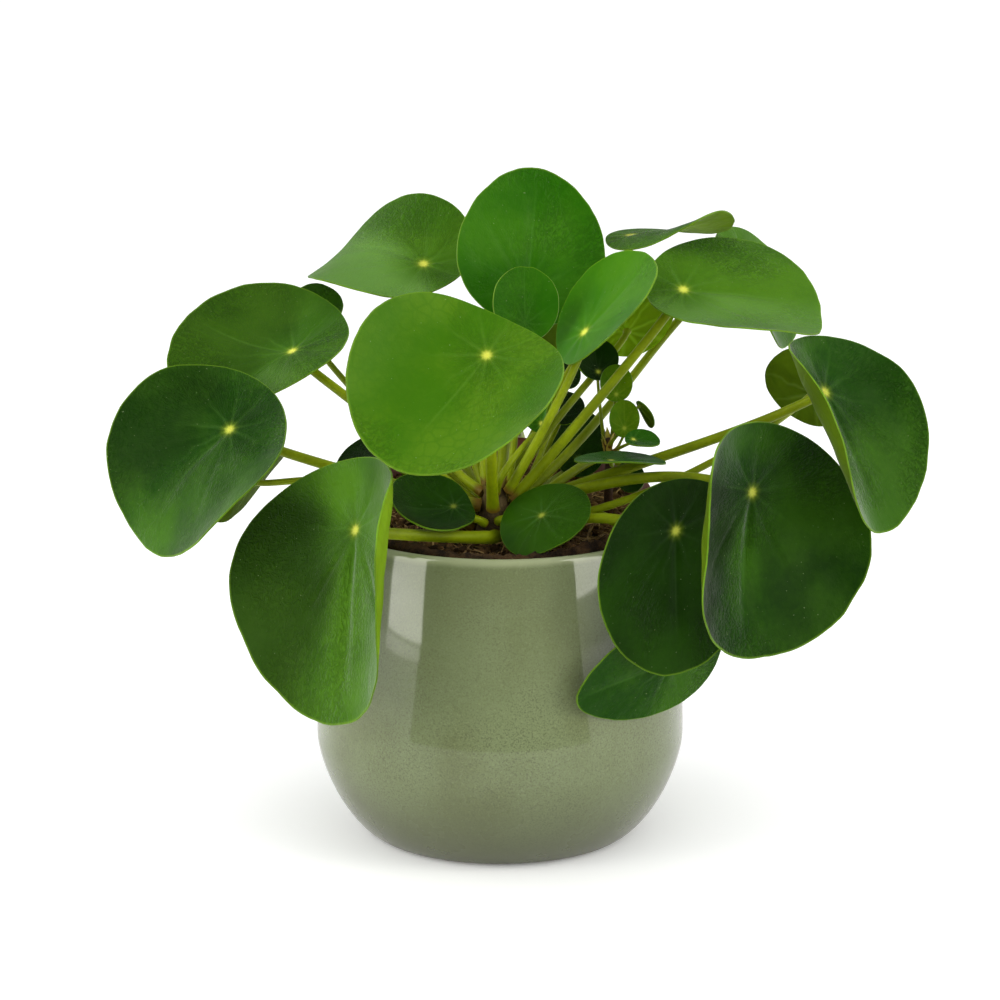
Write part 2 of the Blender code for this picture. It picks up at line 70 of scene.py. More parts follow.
class Sheet:
    """A shader node tree, with short calls that add nodes and join them."""

    def __init__(self, tree: NodeTree) -> None:
        """Takes over the tree of a material, a world or a group."""
        self.tree = tree

    def node(self, kind: str, inputs: dict | None = None, **settings: object) -> bpy.types.Node:
        """Adds one node.

        Args:
            kind: The node's type without its common prefix, such as "TexNoise".
            inputs: Input names or numbers, each with a socket to link or a value to set.
            **settings: The node's own properties.

        Returns:
            The node.
        """
        made = self.tree.nodes.new("ShaderNode" + kind)
        for name, value in settings.items():
            setattr(made, name, value)
        for name, value in (inputs or {}).items():
            self.feed(made.inputs[name], value)
        return made

    def feed(self, socket: Socket, value: object) -> None:
        """Links a socket to an input, or sets the input's value.

        Args:
            socket: The input.
            value: An output socket, a number or a colour or vector.
        """
        if isinstance(value, Socket):
            self.tree.links.new(value, socket)
        elif socket.type == "RGBA" and len(value) == 3:
            socket.default_value = (*value, 1.0)
        else:
            socket.default_value = value

    def math(self, operation: str, first: object, second: object = 0.0, third: object = 0.0,
             clamp: bool = False) -> Socket:
        """The result of a Math node, kept from 0 to 1 where clamp is True."""
        inputs = {0: first, 1: second, 2: third}
        return self.node("Math", inputs, operation=operation, use_clamp=clamp).outputs[0]

    def band(self, value: object, low: float, high: float, start: float = 0.0, end: float = 1.0) -> Socket:
        """A smooth change from start, where the value is up to low, to end, from high on."""
        inputs = {"Value": value, "From Min": low, "From Max": high, "To Min": start, "To Max": end}
        return self.node("MapRange", inputs, interpolation_type="SMOOTHSTEP").outputs["Result"]

    def mix(self, share: object, first: object, second: object) -> Socket:
        """Mixes two colours.

        Args:
            share: How much of the second colour, from 0 to 1.
            first: The first colour.
            second: The second colour.

        Returns:
            The mixed colour.
        """
        made = self.tree.nodes.new("ShaderNodeMix")
        made.data_type = "RGBA"
        self.feed(made.inputs["Factor"], share)
        self.feed(made.inputs[6], first)
        self.feed(made.inputs[7], second)
        return made.outputs[2]

    def noise(self, vector: object, scale: object, detail: float = 3.0, roughness: float = 0.55,
              distortion: float = 0.0) -> Socket:
        """A Noise Texture with so many features in one unit, about 0.5 on average."""
        inputs = {"Vector": vector, "Scale": scale, "Detail": detail, "Roughness": roughness,
                  "Distortion": distortion}
        return self.node("TexNoise", inputs).outputs[0]

    def falling(self, value: object, reach: object) -> Socket:
        """A value that falls from 1 at 0 to 0 at its reach, and stays there."""
        return self.math("SUBTRACT", 1.0, self.math("DIVIDE", value, reach), clamp=True)

    def place(self, group: NodeTree, inputs: dict) -> bpy.types.Node:
        """Places a node group.

        Args:
            group: The group.
            inputs: Its inputs by name.

        Returns:
            The group node.
        """
        made = self.tree.nodes.new("ShaderNodeGroup")
        made.node_tree = group
        for name, value in inputs.items():
            self.feed(made.inputs[name], value)
        return made


class Finish(Sheet):
    """A material with one Principled BSDF, ready for its inputs to be fed."""

    def __init__(self, name: str, **values: object) -> None:
        """Makes the material.

        Args:
            name: The material's name.
            **values: Inputs of the Principled BSDF, with _ for each space in their names.
        """
        self.material = bpy.data.materials.new(name)
        self.material.use_nodes = True
        super().__init__(self.material.node_tree)
        self.shader = self.tree.nodes["Principled BSDF"]
        for key, value in values.items():
            self.feed(self.shader.inputs[key.replace("_", " ")], value)

    def place_coords(self) -> Socket:
        """The Object coordinates, in metres."""
        return self.node("TexCoord").outputs["Object"]

    def own_value(self, name: str) -> Socket:
        """A value that the mesh holds as an attribute."""
        return self.node("Attribute", attribute_name=name).outputs["Fac"]

    def veins(self, place: object, scale: float, width: float, depth: float) -> Socket:
        """A net of lines round so many cells a metre: their depth in the middle of a line, 0 off it."""
        cells = self.node("TexVoronoi", {"Vector": place, "Scale": scale}, feature="DISTANCE_TO_EDGE")
        return self.band(cells.outputs["Distance"], 0.0, width, depth, 0.0)

    def colour(self, tone: object) -> None:
        """Feeds the shader's base colour."""
        self.feed(self.shader.inputs["Base Color"], tone)

    def roughen(self, roughness: object) -> None:
        """Feeds the shader's roughness."""
        self.feed(self.shader.inputs["Roughness"], roughness)

    def bump(self, height: object, distance: float, strength: float = 1.0) -> None:
        """Feeds the shader's normal from a height, which is that many millimetres where it is 1."""
        made = self.node("Bump", {"Height": height, "Distance": distance * MM, "Strength": strength})
        self.feed(self.shader.inputs["Normal"], made.outputs[0])


def new_group(name: str, inputs: dict[str, object], outputs: dict[str, str]) -> tuple[Sheet, dict, dict]:
    """Makes an empty node group with named sockets.

    Args:
        name: The group's name.
        inputs: Input names with their default values; a vector's default is None.
        outputs: Output names with their kinds, "Float" or "Color".

    Returns:
        The group's sheet, its input sockets by name, and its output sockets by name.
    """
    tree = bpy.data.node_groups.new(name, "ShaderNodeTree")
    for key, value in inputs.items():
        kind = "Vector" if value is None else "Float" if isinstance(value, float) else "Color"
        made = tree.interface.new_socket(key, in_out="INPUT", socket_type="NodeSocket" + kind)
        if kind == "Float":
            made.default_value = value
        elif kind == "Color":
            made.default_value = (*value, 1.0)
    for key, kind in outputs.items():
        tree.interface.new_socket(key, in_out="OUTPUT", socket_type="NodeSocket" + kind)
    start = tree.nodes.new("NodeGroupInput")
    end = tree.nodes.new("NodeGroupOutput")
    return Sheet(tree), {key: start.outputs[key] for key in inputs}, {key: end.inputs[key] for key in outputs}


class Effects:
    """The node groups that more than one finish uses, each built once."""

    def __init__(self) -> None:
        """Builds the groups."""
        self.mottle = self.build_mottle()
        self.rays = self.build_rays()
        self.grain = self.build_grain()

    @staticmethod
    def build_mottle() -> NodeTree:
        """Colour that drifts between a dark and a light tone, with finer flecks on top.

        Returns:
            The group.
        """
        sheet, inputs, outputs = new_group(
            "mottle",
            {"Vector": None, "Scale": 30.0, "Fleck Scale": 600.0, "Flecks": 0.2, "Dark": (0.1, 0.1, 0.1),
             "Light": (0.3, 0.3, 0.3)},
            {"Color": "Color"})
        fleck = sheet.noise(inputs["Vector"], inputs["Fleck Scale"], 3.0, 0.6)
        drift = sheet.band(sheet.noise(inputs["Vector"], inputs["Scale"], 2.0, 0.5), 0.34, 0.66)
        speck = sheet.math("MULTIPLY", sheet.math("SUBTRACT", fleck, 0.5), inputs["Flecks"])
        value = sheet.math("ADD", drift, sheet.math("MULTIPLY", speck, 4.0), clamp=True)
        sheet.feed(outputs["Color"], sheet.mix(value, inputs["Dark"], inputs["Light"]))
        return sheet.tree

    @staticmethod
    def build_rays() -> NodeTree:
        """Fine lines that spread from the middle of a blade's own map, and the spot in their middle.

        Returns:
            The group.
        """
        sheet, inputs, outputs = new_group(
            "rays", {"Vector": None, "Count": 9.0, "Width": 0.006, "Reach": 0.4, "Spot": 0.03, "Turn": 0.3},
            {"Lines": "Float", "Spot": "Float", "Midrib": "Float", "Wrinkles": "Float"})
        split = sheet.node("SeparateXYZ", {0: inputs["Vector"]})
        along, across = split.outputs[0], split.outputs[1]
        radius = sheet.math("SQRT", sheet.math("ADD", sheet.math("MULTIPLY", along, along),
                                               sheet.math("MULTIPLY", across, across)))
        stir = sheet.math("SUBTRACT", sheet.noise(inputs["Vector"], 9.0, 1.0, 0.5), 0.5)
        turn = sheet.math("ADD", sheet.math("ARCTAN2", across, along), inputs["Turn"])
        turned = sheet.math("ADD", turn, sheet.math("MULTIPLY", stir, 0.35))
        step = sheet.math("DIVIDE", pi, inputs["Count"])
        off = sheet.math("MULTIPLY", sheet.math("PINGPONG", turned, step), radius)
        line = sheet.falling(off, inputs["Width"])
        fade = sheet.falling(radius, inputs["Reach"])
        sheet.feed(outputs["Lines"], sheet.math("MULTIPLY", line, sheet.math("MULTIPLY", fade, fade)))
        star = sheet.math("COSINE", sheet.math("MULTIPLY", turned, inputs["Count"]))
        star = sheet.math("MULTIPLY_ADD", star, -0.06, 1.0)
        near = sheet.falling(sheet.math("MULTIPLY", radius, star), inputs["Spot"])
        sheet.feed(outputs["Spot"], sheet.math("MULTIPLY", near, near))
        rib = sheet.falling(sheet.math("ABSOLUTE", across), 0.008)
        rib = sheet.math("MULTIPLY", rib, sheet.band(along, 0.015, 0.06))
        sheet.feed(outputs["Midrib"], sheet.math("MULTIPLY", rib, sheet.band(along, 0.22, 0.5, 1.0, 0.0)))
        safe = sheet.math("MAXIMUM", radius, 0.0005)
        way = sheet.node("CombineXYZ", {0: sheet.math("DIVIDE", along, safe),
                                        1: sheet.math("DIVIDE", across, safe), 2: radius}).outputs[0]
        folds = [sheet.math("ABSOLUTE", sheet.math("SUBTRACT", pattern, 0.5))
                 for pattern in (sheet.noise(way, 19.0, 2.0, 0.5, 0.6),
                                 sheet.noise(inputs["Vector"], 38.0, 2.0, 0.5, 0.8))]
        sheet.feed(outputs["Wrinkles"], sheet.math("MULTIPLY", sheet.math("ADD", *folds), 2.0))
        return sheet.tree

    @staticmethod
    def build_grain() -> NodeTree:
        """A fine height with slower swells under it, for the bump of glaze, skin, bark and peat.

        Returns:
            The group.
        """
        sheet, inputs, outputs = new_group(
            "grain", {"Vector": None, "Scale": 900.0, "Swell Scale": 60.0, "Swell": 0.5}, {"Height": "Float"})
        fine = sheet.noise(inputs["Vector"], inputs["Scale"], 3.0, 0.6)
        slow = sheet.noise(inputs["Vector"], inputs["Swell Scale"], 2.0, 0.5)
        fine_part = sheet.math("MULTIPLY", fine, sheet.math("SUBTRACT", 1.0, inputs["Swell"]))
        sheet.feed(outputs["Height"], sheet.math("MULTIPLY_ADD", slow, inputs["Swell"], fine_part))
        return sheet.tree

    def mottled(self, finish: Finish, sizes: Point, dark: Colour, light: Colour) -> Socket:
        """Places the mottling in a finish.

        Args:
            finish: The finish.
            sizes: Patches a metre, flecks a metre, and how strong the flecks are.
            dark: The dark tone.
            light: The light tone.

        Returns:
            The colour.
        """
        scale, fleck_scale, flecks = sizes
        placed = finish.place(self.mottle, {"Vector": finish.place_coords(), "Scale": scale,
                                            "Fleck Scale": fleck_scale, "Flecks": flecks, "Dark": dark,
                                            "Light": light})
        return placed.outputs["Color"]

    def grained(self, finish: Finish, sizes: Point) -> Socket:
        """Places the grain in a finish.

        Args:
            finish: The finish.
            sizes: Grains a metre, swells a metre, and the swells' share of the height.

        Returns:
            The height.
        """
        scale, swell_scale, swell = sizes
        placed = finish.place(self.grain, {"Vector": finish.place_coords(), "Scale": scale,
                                           "Swell Scale": swell_scale, "Swell": swell})
        return placed.outputs["Height"]


# ---------------------------------------------------------------------------------------------------------
# Finishes


@dataclass(frozen=True)
class BladeFinish:
    """The skin of a leaf blade: upper face, underside and margin.

    Attributes:
        name: The finish's name.
        dark: The upper face's darker tone.
        light: The upper face's lighter tone.
        under: The underside's colour.
        through: How much light comes through, from 0 to 1.
        roughness: The upper face's roughness.
        wrinkle: The depth of its fine wrinkles in millimetres.
        net: How strongly a net of small veins shows.
        vein: How strongly the rays round the hub show.
        rib: How strongly the line along its middle shows.
        gloss: How strongly the upper face reflects.
    """

    name: str
    dark: Colour
    light: Colour
    under: Colour = (0.085, 0.15, 0.005)
    through: float = 0.1
    roughness: float = 0.32
    wrinkle: float = 0.8
    net: float = 0.0
    vein: float = 0.35
    rib: float = 0.25
    gloss: float = 0.07

    HUB: Colour = (0.7, 0.74, 0.1)
    HALO: Colour = (0.28, 0.4, 0.02)
    EDGE: Colour = (0.13, 0.25, 0.015)
    SPECK: Colour = (0.3, 0.38, 0.2)
    # The colour of the painted sheen.
    PAINTED_SHEEN: Colour = (0.13, 0.27, 0.055)
    GLOW: Colour = (0.3, 0.6, 0.02)
    SHEEN: Colour = (0.75, 1.0, 0.5)

    def skin(self, name: str, roughness: float, gloss: float, share: float) -> Finish:
        """A finish for one face of the blade, with a share of the light coming through."""
        return Finish(name, Roughness=roughness, Specular_IOR_Level=gloss, Specular_Tint=self.SHEEN,
                      Subsurface_Weight=share, Subsurface_Radius=self.GLOW, Subsurface_Scale=1.6 * MM)

    def upper(self, effects: Effects) -> Material:
        """The upper face: mottled green, fine wrinkles with painted shade in their folds, painted shade and
        sheen, faint veins and a bright hub.

        Args:
            effects: The shared node groups.

        Returns:
            The material.
        """
        finish = self.skin(self.name + "_upper", self.roughness, self.gloss, self.through)
        place = finish.place_coords()
        blade = finish.node("UVMap", uv_map="blade").outputs[0]
        placed = finish.place(effects.rays, {"Vector": blade, "Width": 0.012, "Reach": 0.34, "Spot": 0.052})
        rays = placed.outputs
        # Painted shade: in patches, the face is painted darker in the folds of its wrinkles.
        patch = finish.band(finish.noise(place, 21.0, 2.0, 0.5), 0.42, 0.6, 0.1, 1.0)
        painted_crease_shade = finish.math("MULTIPLY", finish.band(rays["Wrinkles"], 0.08, 0.5, 0.4, 0.0), patch)
        # Painted shade and painted sheen: the attribute "tint" darkens the face where it is above 0 and pales
        # it towards the sheen colour where it is below.
        tint = finish.own_value("tint")
        deep = finish.math("MAXIMUM", tint, 0.0)
        painted_sheen = finish.math("MAXIMUM", finish.math("MULTIPLY", tint, -1.0), 0.0)
        bright = finish.own_value("hub")
        pale = tuple(min(1.0, c * 1.3 + 0.02) for c in self.light)
        tone = effects.mottled(finish, (24.0, 330.0, 0.2), self.dark, self.light)
        if self.net:
            tone = finish.mix(finish.veins(place, 190.0, 0.14, self.net), tone, self.dark)
        for share, colour in (
                (painted_crease_shade, tuple(c * 0.45 for c in self.dark)),
                (deep, tuple(c * 0.25 for c in self.dark)),
                (painted_sheen, self.PAINTED_SHEEN),
                (finish.math("MULTIPLY", rays["Lines"], self.vein), pale),
                (finish.math("MULTIPLY", rays["Midrib"], self.rib), pale),
                (finish.math("MULTIPLY", rays["Spot"], bright), self.HALO),
                (finish.math("MULTIPLY", finish.band(rays["Spot"], 0.2, 0.75), bright), self.HUB),
                (finish.band(finish.own_value("share"), 0.984, 0.998, 0.0, 0.6), self.EDGE),
                (finish.band(finish.noise(place, 1400.0, 0.0), 0.84, 0.88, 0.0, 0.35), self.SPECK)):
            tone = finish.mix(share, tone, colour)
        finish.colour(tone)
        satin = finish.band(finish.noise(place, 55.0, 3.0, 0.6), 0.3, 0.72, self.roughness - 0.06,
                            self.roughness + 0.1)
        finish.roughen(finish.math("MULTIPLY_ADD", deep, 0.3, satin))
        fine = finish.math("MULTIPLY", effects.grained(finish, (1600.0, 420.0, 0.7)), 0.3)
        height = finish.math("ADD", finish.math("MULTIPLY", rays["Wrinkles"], patch), fine)
        finish.bump(finish.math("MULTIPLY_ADD", rays["Lines"], -0.4, height), self.wrinkle, 0.9)
        return finish.material

    def underside(self, effects: Effects) -> Material:
        """The underside: paler, duller, with raised veins.

        Args:
            effects: The shared node groups.

        Returns:
            The material.
        """
        finish = self.skin(self.name + "_under", 0.6, 0.02, self.through + 0.08)
        blade = finish.node("UVMap", uv_map="blade").outputs[0]
        rays = finish.place(effects.rays, {"Vector": blade, "Width": 0.016, "Reach": 0.6, "Spot": 0.05})
        lines = rays.outputs["Lines"]
        net = finish.veins(finish.place_coords(), 150.0, 0.2, 0.3)
        deep = tuple(c * 0.7 for c in self.under)
        pale = tuple(min(1.0, c * 1.35 + 0.02) for c in self.under)
        tone = finish.mix(net, effects.mottled(finish, (34.0, 500.0, 0.18), deep, self.under), deep)
        finish.colour(finish.mix(finish.math("MULTIPLY", lines, 0.9, clamp=True), tone, pale))
        finish.bump(finish.math("MULTIPLY_ADD", net, 0.8, lines), 0.3, 0.8)
        return finish.material

    def margin(self, effects: Effects) -> Material:
        """The thin rim between the two faces, light green and slightly glossy.

        Args:
            effects: The shared node groups.

        Returns:
            The material.
        """
        finish = self.skin(self.name + "_margin", 0.45, 0.1, 0.25)
        deep = tuple(c * 0.6 for c in self.EDGE)
        finish.colour(effects.mottled(finish, (60.0, 700.0, 0.15), deep, self.EDGE))
        return finish.material


@dataclass(frozen=True)
class StalkFinish:
    """The skin of a leaf stalk, brown at its foot and yellow-green above.

    Attributes:
        name: The finish's name.
        dark: The darker tone of the stalk.
        light: The lighter tone.
        edge: The colour of its sheen, which shows where it turns away.
        foot: The colour at its foot.
        foot_share: How much of its length the foot's colour takes.
    """

    name: str
    dark: Colour
    light: Colour
    edge: Colour
    foot: Colour
    foot_share: float

    def material(self, effects: Effects) -> Material:
        """Builds the stalk's material.

        Args:
            effects: The shared node groups.

        Returns:
            The material.
        """
        finish = Finish(self.name, Roughness=0.4, Specular_IOR_Level=0.2, Specular_Tint=(0.9, 1.0, 0.5),
                        Subsurface_Weight=0.3, Subsurface_Radius=(0.6, 0.8, 0.1), Subsurface_Scale=2.2 * MM,
                        Sheen_Weight=0.45, Sheen_Roughness=0.35, Sheen_Tint=self.edge)
        stir = finish.noise(finish.place_coords(), 180.0, 2.0)
        ragged = finish.math("MULTIPLY_ADD", stir, self.foot_share * 0.6, finish.own_value("share"))
        brown = finish.band(ragged, self.foot_share * 0.5, self.foot_share * 1.5, 1.0, 0.0)
        tone = effects.mottled(finish, (45.0, 650.0, 0.3), self.dark, self.light)
        finish.colour(finish.mix(brown, tone, self.foot))
        finish.bump(effects.grained(finish, (1300.0, 240.0, 0.6)), 0.22, 0.7)
        return finish.material


@dataclass(frozen=True)
class GlazeFinish:
    """A glossy reactive glaze: sage green, finely speckled, thin and pale on edges, with painted light paler
    towards the rim and painted shade darker towards the foot.
    """

    deep: Colour = (0.116, 0.14, 0.05)
    body: Colour = (0.156, 0.194, 0.085)
    speck: Colour = (0.062, 0.064, 0.026)
    pale: Colour = (0.25, 0.3, 0.135)
    painted_foot_shade: Colour = (0.06, 0.068, 0.03)
    clay: Colour = (0.17, 0.13, 0.08)
    edge: Colour = (0.46, 0.5, 0.29)

    def material(self, effects: Effects, rim: float, foot: float) -> Material:
        """Builds the glaze.

        Args:
            effects: The shared node groups.
            rim: The height of the rim in millimetres, where the glaze is thin.
            foot: The height of the foot, where the clay is bare.

        Returns:
            The material.
        """
        finish = Finish("sage_glaze", Specular_IOR_Level=0.2, Coat_Roughness=0.05, Coat_IOR=1.52)
        place = finish.place_coords()
        cloud = finish.band(finish.noise(place, 30.0, 3.0, 0.6), 0.35, 0.65, 0.55, 1.0)
        grains = finish.band(finish.noise(place, 1500.0, 1.0, 0.5), 0.48, 0.68, 0.0, 0.6)
        height = finish.node("SeparateXYZ", {0: place}).outputs[2]
        wave = finish.math("MULTIPLY_ADD", finish.noise(place, 40.0, 2.0), 2.5 * MM, height)
        bare = finish.band(wave, (foot + 0.9) * MM, (foot + 2.6) * MM, 1.0, 0.0)
        tone = effects.mottled(finish, (22.0, 1100.0, 0.42), self.deep, self.body)
        for share, colour in (
                (finish.math("MULTIPLY", grains, cloud), self.speck),
                (finish.band(finish.noise(place, 1250.0, 1.0, 0.5), 0.56, 0.74, 0.0, 0.3), self.pale),
                (finish.band(wave, (rim - 2.6) * MM, (rim + 0.6) * MM, 0.0, 0.95), self.edge),
                # Painted light: the wall is painted paler from about 40 mm above the foot up to the rim.
                (finish.band(height, (foot + 40.0) * MM, (rim - 4.0) * MM, 0.0, 0.32), self.pale),
                # Painted shade: the wall is painted darker towards the foot, standing for the shadowed floor
                # that the lower wall mirrors.
                (finish.band(height, (foot - 4.0) * MM, (foot + 58.0) * MM, 0.95, 0.0), self.painted_foot_shade),
                (bare, self.clay)):
            tone = finish.mix(share, tone, colour)
        finish.colour(tone)
        patchy = finish.band(finish.noise(place, 60.0), 0.3, 0.7, 0.24, 0.36)
        finish.roughen(finish.math("MULTIPLY_ADD", bare, 0.4, patchy))
        finish.feed(finish.shader.inputs["Coat Weight"], finish.math("MULTIPLY_ADD", bare, -0.9, 0.9))
        finish.bump(effects.grained(finish, (500.0, 30.0, 0.97)), 0.3, 0.25)
        return finish.material


@dataclass(frozen=True)
class PlasticFinish:
    """Thin moulded plastic, a little scuffed."""

    dark: Colour = (0.1, 0.018, 0.012)
    light: Colour = (0.2, 0.045, 0.03)

    def material(self, effects: Effects) -> Material:
        """Builds the plastic.

        Args:
            effects: The shared node groups.

        Returns:
            The material.
        """
        finish = Finish("brown_plastic", Roughness=0.42, Specular_IOR_Level=0.5)
        finish.colour(effects.mottled(finish, (50.0, 1400.0, 0.2), self.dark, self.light))
        finish.roughen(finish.band(finish.noise(finish.place_coords(), 300.0), 0.35, 0.7, 0.34, 0.6))
        finish.bump(effects.grained(finish, (2200.0, 120.0, 0.4)), 0.15, 0.5)
        return finish.material


@dataclass(frozen=True)
class EarthFinish:
    """Peat, its crumbs, its fibres or bark: rough, with each bit its own tint.

    Attributes:
        name: The finish's name.
        dark: The darkest tone.
        light: The lightest tone.
        scale: The size of the pattern, in features a metre.
        relief: The height of its roughness in millimetres.
        tinted: True where each bit holds its own tint, in the attribute "tint".
        roughness: How dull it is.
    """

    name: str
    dark: Colour
    light: Colour
    scale: float = 400.0
    relief: float = 0.7
    tinted: bool = False
    roughness: float = 0.92

    def material(self, effects: Effects) -> Material:
        """Builds the material.

        Args:
            effects: The shared node groups.

        Returns:
            The material.
        """
        finish = Finish(self.name, Roughness=self.roughness, Specular_IOR_Level=0.2)
        middle = tuple((a + b) / 2 for a, b in zip(self.dark, self.light))
        tone = effects.mottled(finish, (self.scale / 4, self.scale * 3, 0.5), self.dark, middle)
        if self.tinted:
            tone = finish.mix(finish.own_value("tint"), tone, self.light)
        finish.colour(tone)
        finish.bump(effects.grained(finish, (self.scale * 4, self.scale, 0.5)), self.relief)
        return finish.material


class Tone(Enum):
    """How a leaf looks: its age, and how the light meets it."""

    DARK = BladeFinish("leaf_dark", (0.008, 0.044, 0.001), (0.034, 0.108, 0.005))
    # DEEP and SHADE are darker copies of the green: painted shade for leaves that lie deep in the plant or
    # turn away from the lamps.
    DEEP = BladeFinish("leaf_deep", (0.005, 0.024, 0.0006), (0.013, 0.052, 0.0015), wrinkle=0.5,
                       rib=0.3, gloss=0.05)
    SHADE = BladeFinish("leaf_shade", (0.005, 0.03, 0.0005), (0.022, 0.078, 0.002), rib=0.35, gloss=0.05)
    MID = BladeFinish("leaf_mid", (0.03, 0.1, 0.003), (0.055, 0.15, 0.006), (0.14, 0.25, 0.008), wrinkle=0.7)
    FRESH = BladeFinish("leaf_fresh", (0.015, 0.092, 0.001), (0.034, 0.135, 0.004), wrinkle=0.4)
    LIGHT = BladeFinish("leaf_light", (0.038, 0.13, 0.002), (0.07, 0.17, 0.005), wrinkle=0.4,
                        roughness=0.38, net=0.4)
    YOUNG = BladeFinish("leaf_young", (0.03, 0.145, 0.0015), (0.055, 0.19, 0.004), (0.2, 0.36, 0.004),
                        wrinkle=0.2, through=0.25)
    STAR = BladeFinish("leaf_star", (0.012, 0.06, 0.001), (0.03, 0.1, 0.003), wrinkle=0.3, vein=0.9)
    # PUP is the pups' own pale young green, made brighter still as painted light for the back-lit look of
    # their leaves.
    PUP = BladeFinish("leaf_pup", (0.06, 0.16, 0.001), (0.13, 0.24, 0.003), (0.24, 0.38, 0.004),
                      wrinkle=0.15, through=0.25)


# ---------------------------------------------------------------------------------------------------------
# Mesh helpers


def deselect() -> None:
    """Leaves edit mode and deselects every object."""
    if bpy.context.object and bpy.context.object.mode != "OBJECT":
        bpy.ops.object.mode_set(mode="OBJECT")
    bpy.ops.object.select_all(action="DESELECT")


def choose(piece: Piece) -> None:
    """Makes a piece the only selected and the active one.

    Args:
        piece: The piece.
    """
    deselect()
    piece.select_set(True)
    bpy.context.view_layer.objects.active = piece


def edit_all(piece: Piece) -> None:
    """Opens a piece in edit mode with everything selected.

    Args:
        piece: The piece.
    """
    choose(piece)
    bpy.ops.object.mode_set(mode="EDIT")
    bpy.ops.mesh.select_all(action="SELECT")


def new_piece(name: str, data: bpy.types.ID) -> Piece:
    """Puts a mesh, a curve, a lamp or a camera into the scene.

    Args:
        name: The object's name.
        data: What it shows.

    Returns:
        The object.
    """
    made = bpy.data.objects.new(name, data)
    bpy.context.collection.objects.link(made)
    return made


def settle(piece: Piece) -> None:
    """Moves a piece's place into its mesh."""
    choose(piece)
    bpy.ops.object.transform_apply(location=True, rotation=True, scale=True)


def apply_all(piece: Piece) -> None:
    """Applies a piece's modifiers in order."""
    choose(piece)
    for step in list(piece.modifiers):
        bpy.ops.object.modifier_apply(modifier=step.name)


def smooth(piece: Piece, angle: float) -> None:
    """Shades a piece smooth, with each edge kept sharp whose corner has at least the angle."""
    choose(piece)
    bpy.ops.object.shade_smooth_by_angle(angle=radians(angle))


def outwards(piece: Piece) -> None:
    """Merges doubles and turns the faces outwards.

    Args:
        piece: The piece.
    """
    edit_all(piece)
    bpy.ops.mesh.remove_doubles(threshold=0.002 * MM)
    bpy.ops.mesh.normals_make_consistent(inside=False)
    bpy.ops.object.mode_set(mode="OBJECT")


def positions(mesh: Mesh) -> Values:
    """A mesh's points.

    Args:
        mesh: The mesh.

    Returns:
        One row of x, y and z a point.
    """
    points = np.empty(len(mesh.vertices) * 3)
    mesh.vertices.foreach_get("co", points)
    return points.reshape(-1, 3)


def set_positions(mesh: Mesh, points: Values) -> None:
    """Puts a mesh's points somewhere else, one row a point."""
    mesh.vertices.foreach_set("co", np.ascontiguousarray(points, dtype=np.float32).ravel())
    mesh.update()


def normals(mesh: Mesh) -> Values:
    """A mesh's normals at its points.

    Args:
        mesh: The mesh.

    Returns:
        One row a point.
    """
    found = np.empty(len(mesh.vertices) * 3, dtype=np.float32)
    mesh.vertex_normals.foreach_get("vector", found)
    return found.reshape(-1, 3).astype(float)


def set_values(mesh: Mesh, name: str, values: Values) -> None:
    """Stores one value a point as an attribute of a mesh."""
    made = mesh.attributes.new(name, "FLOAT", "POINT")
    made.data.foreach_set("value", np.ascontiguousarray(values, dtype=np.float32))


def push_out(piece: Piece, push: Values) -> None:
    """Moves each point of a piece along its normal, by so many millimetres."""
    set_positions(piece.data, positions(piece.data) + normals(piece.data) * push[:, None] * MM)


def waves(points: Values, size: float, seed: float, depth: int = 2) -> Values:
    """Smooth noise from -1 to 1 at points, with features of a size and so many finer layers."""
    shift = Vector((seed * 7.31, seed * 3.17, seed * 5.03))
    return np.array([noise.fractal(Vector(point) / size + shift, 1.0, 2.0, depth) for point in points])


def step_up(values: Values, low: float, high: float) -> Values:
    """A smooth step from 0, where a value is at most low, to 1, where it is at least high."""
    share = np.clip((values - low) / (high - low), 0.0, 1.0)
    return share * share * (3.0 - 2.0 * share)


def step_down(values: Values, low: float, high: float) -> Values:
    """A smooth step from 1, where a value is at most low, to 0, where it is at least high."""
    return 1.0 - step_up(values, low, high)


def arc(centre: Pair, radius: float, start: float, end: float, steps: int) -> list[Pair]:
    """Points along a circle from one angle to another in equal steps, both ends included."""
    turns = [radians(start + (end - start) * i / steps) for i in range(steps + 1)]
    return [(centre[0] + radius * cos(turn), centre[1] + radius * sin(turn)) for turn in turns]


def finish_piece(piece: Piece, node: str, slot: str, looks: Sequence[Material]) -> None:
    """Dresses a piece, hangs it on the body and hides the CAD node that it stands for.

    Args:
        piece: The piece.
        node: The CAD node that it stands for.
        slot: The record's material slot; not used.
        looks: Its materials in the order of its slots.
    """
    faces = np.empty(len(piece.data.polygons), dtype=np.int32)
    piece.data.polygons.foreach_get("material_index", faces)
    piece.data.materials.clear()
    for look in looks:
        piece.data.materials.append(look)
    piece.data.polygons.foreach_set("material_index", faces)
    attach(piece, BODY)
    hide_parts(node)
    LOG.info("%s: %d faces", piece.name, len(piece.data.polygons))


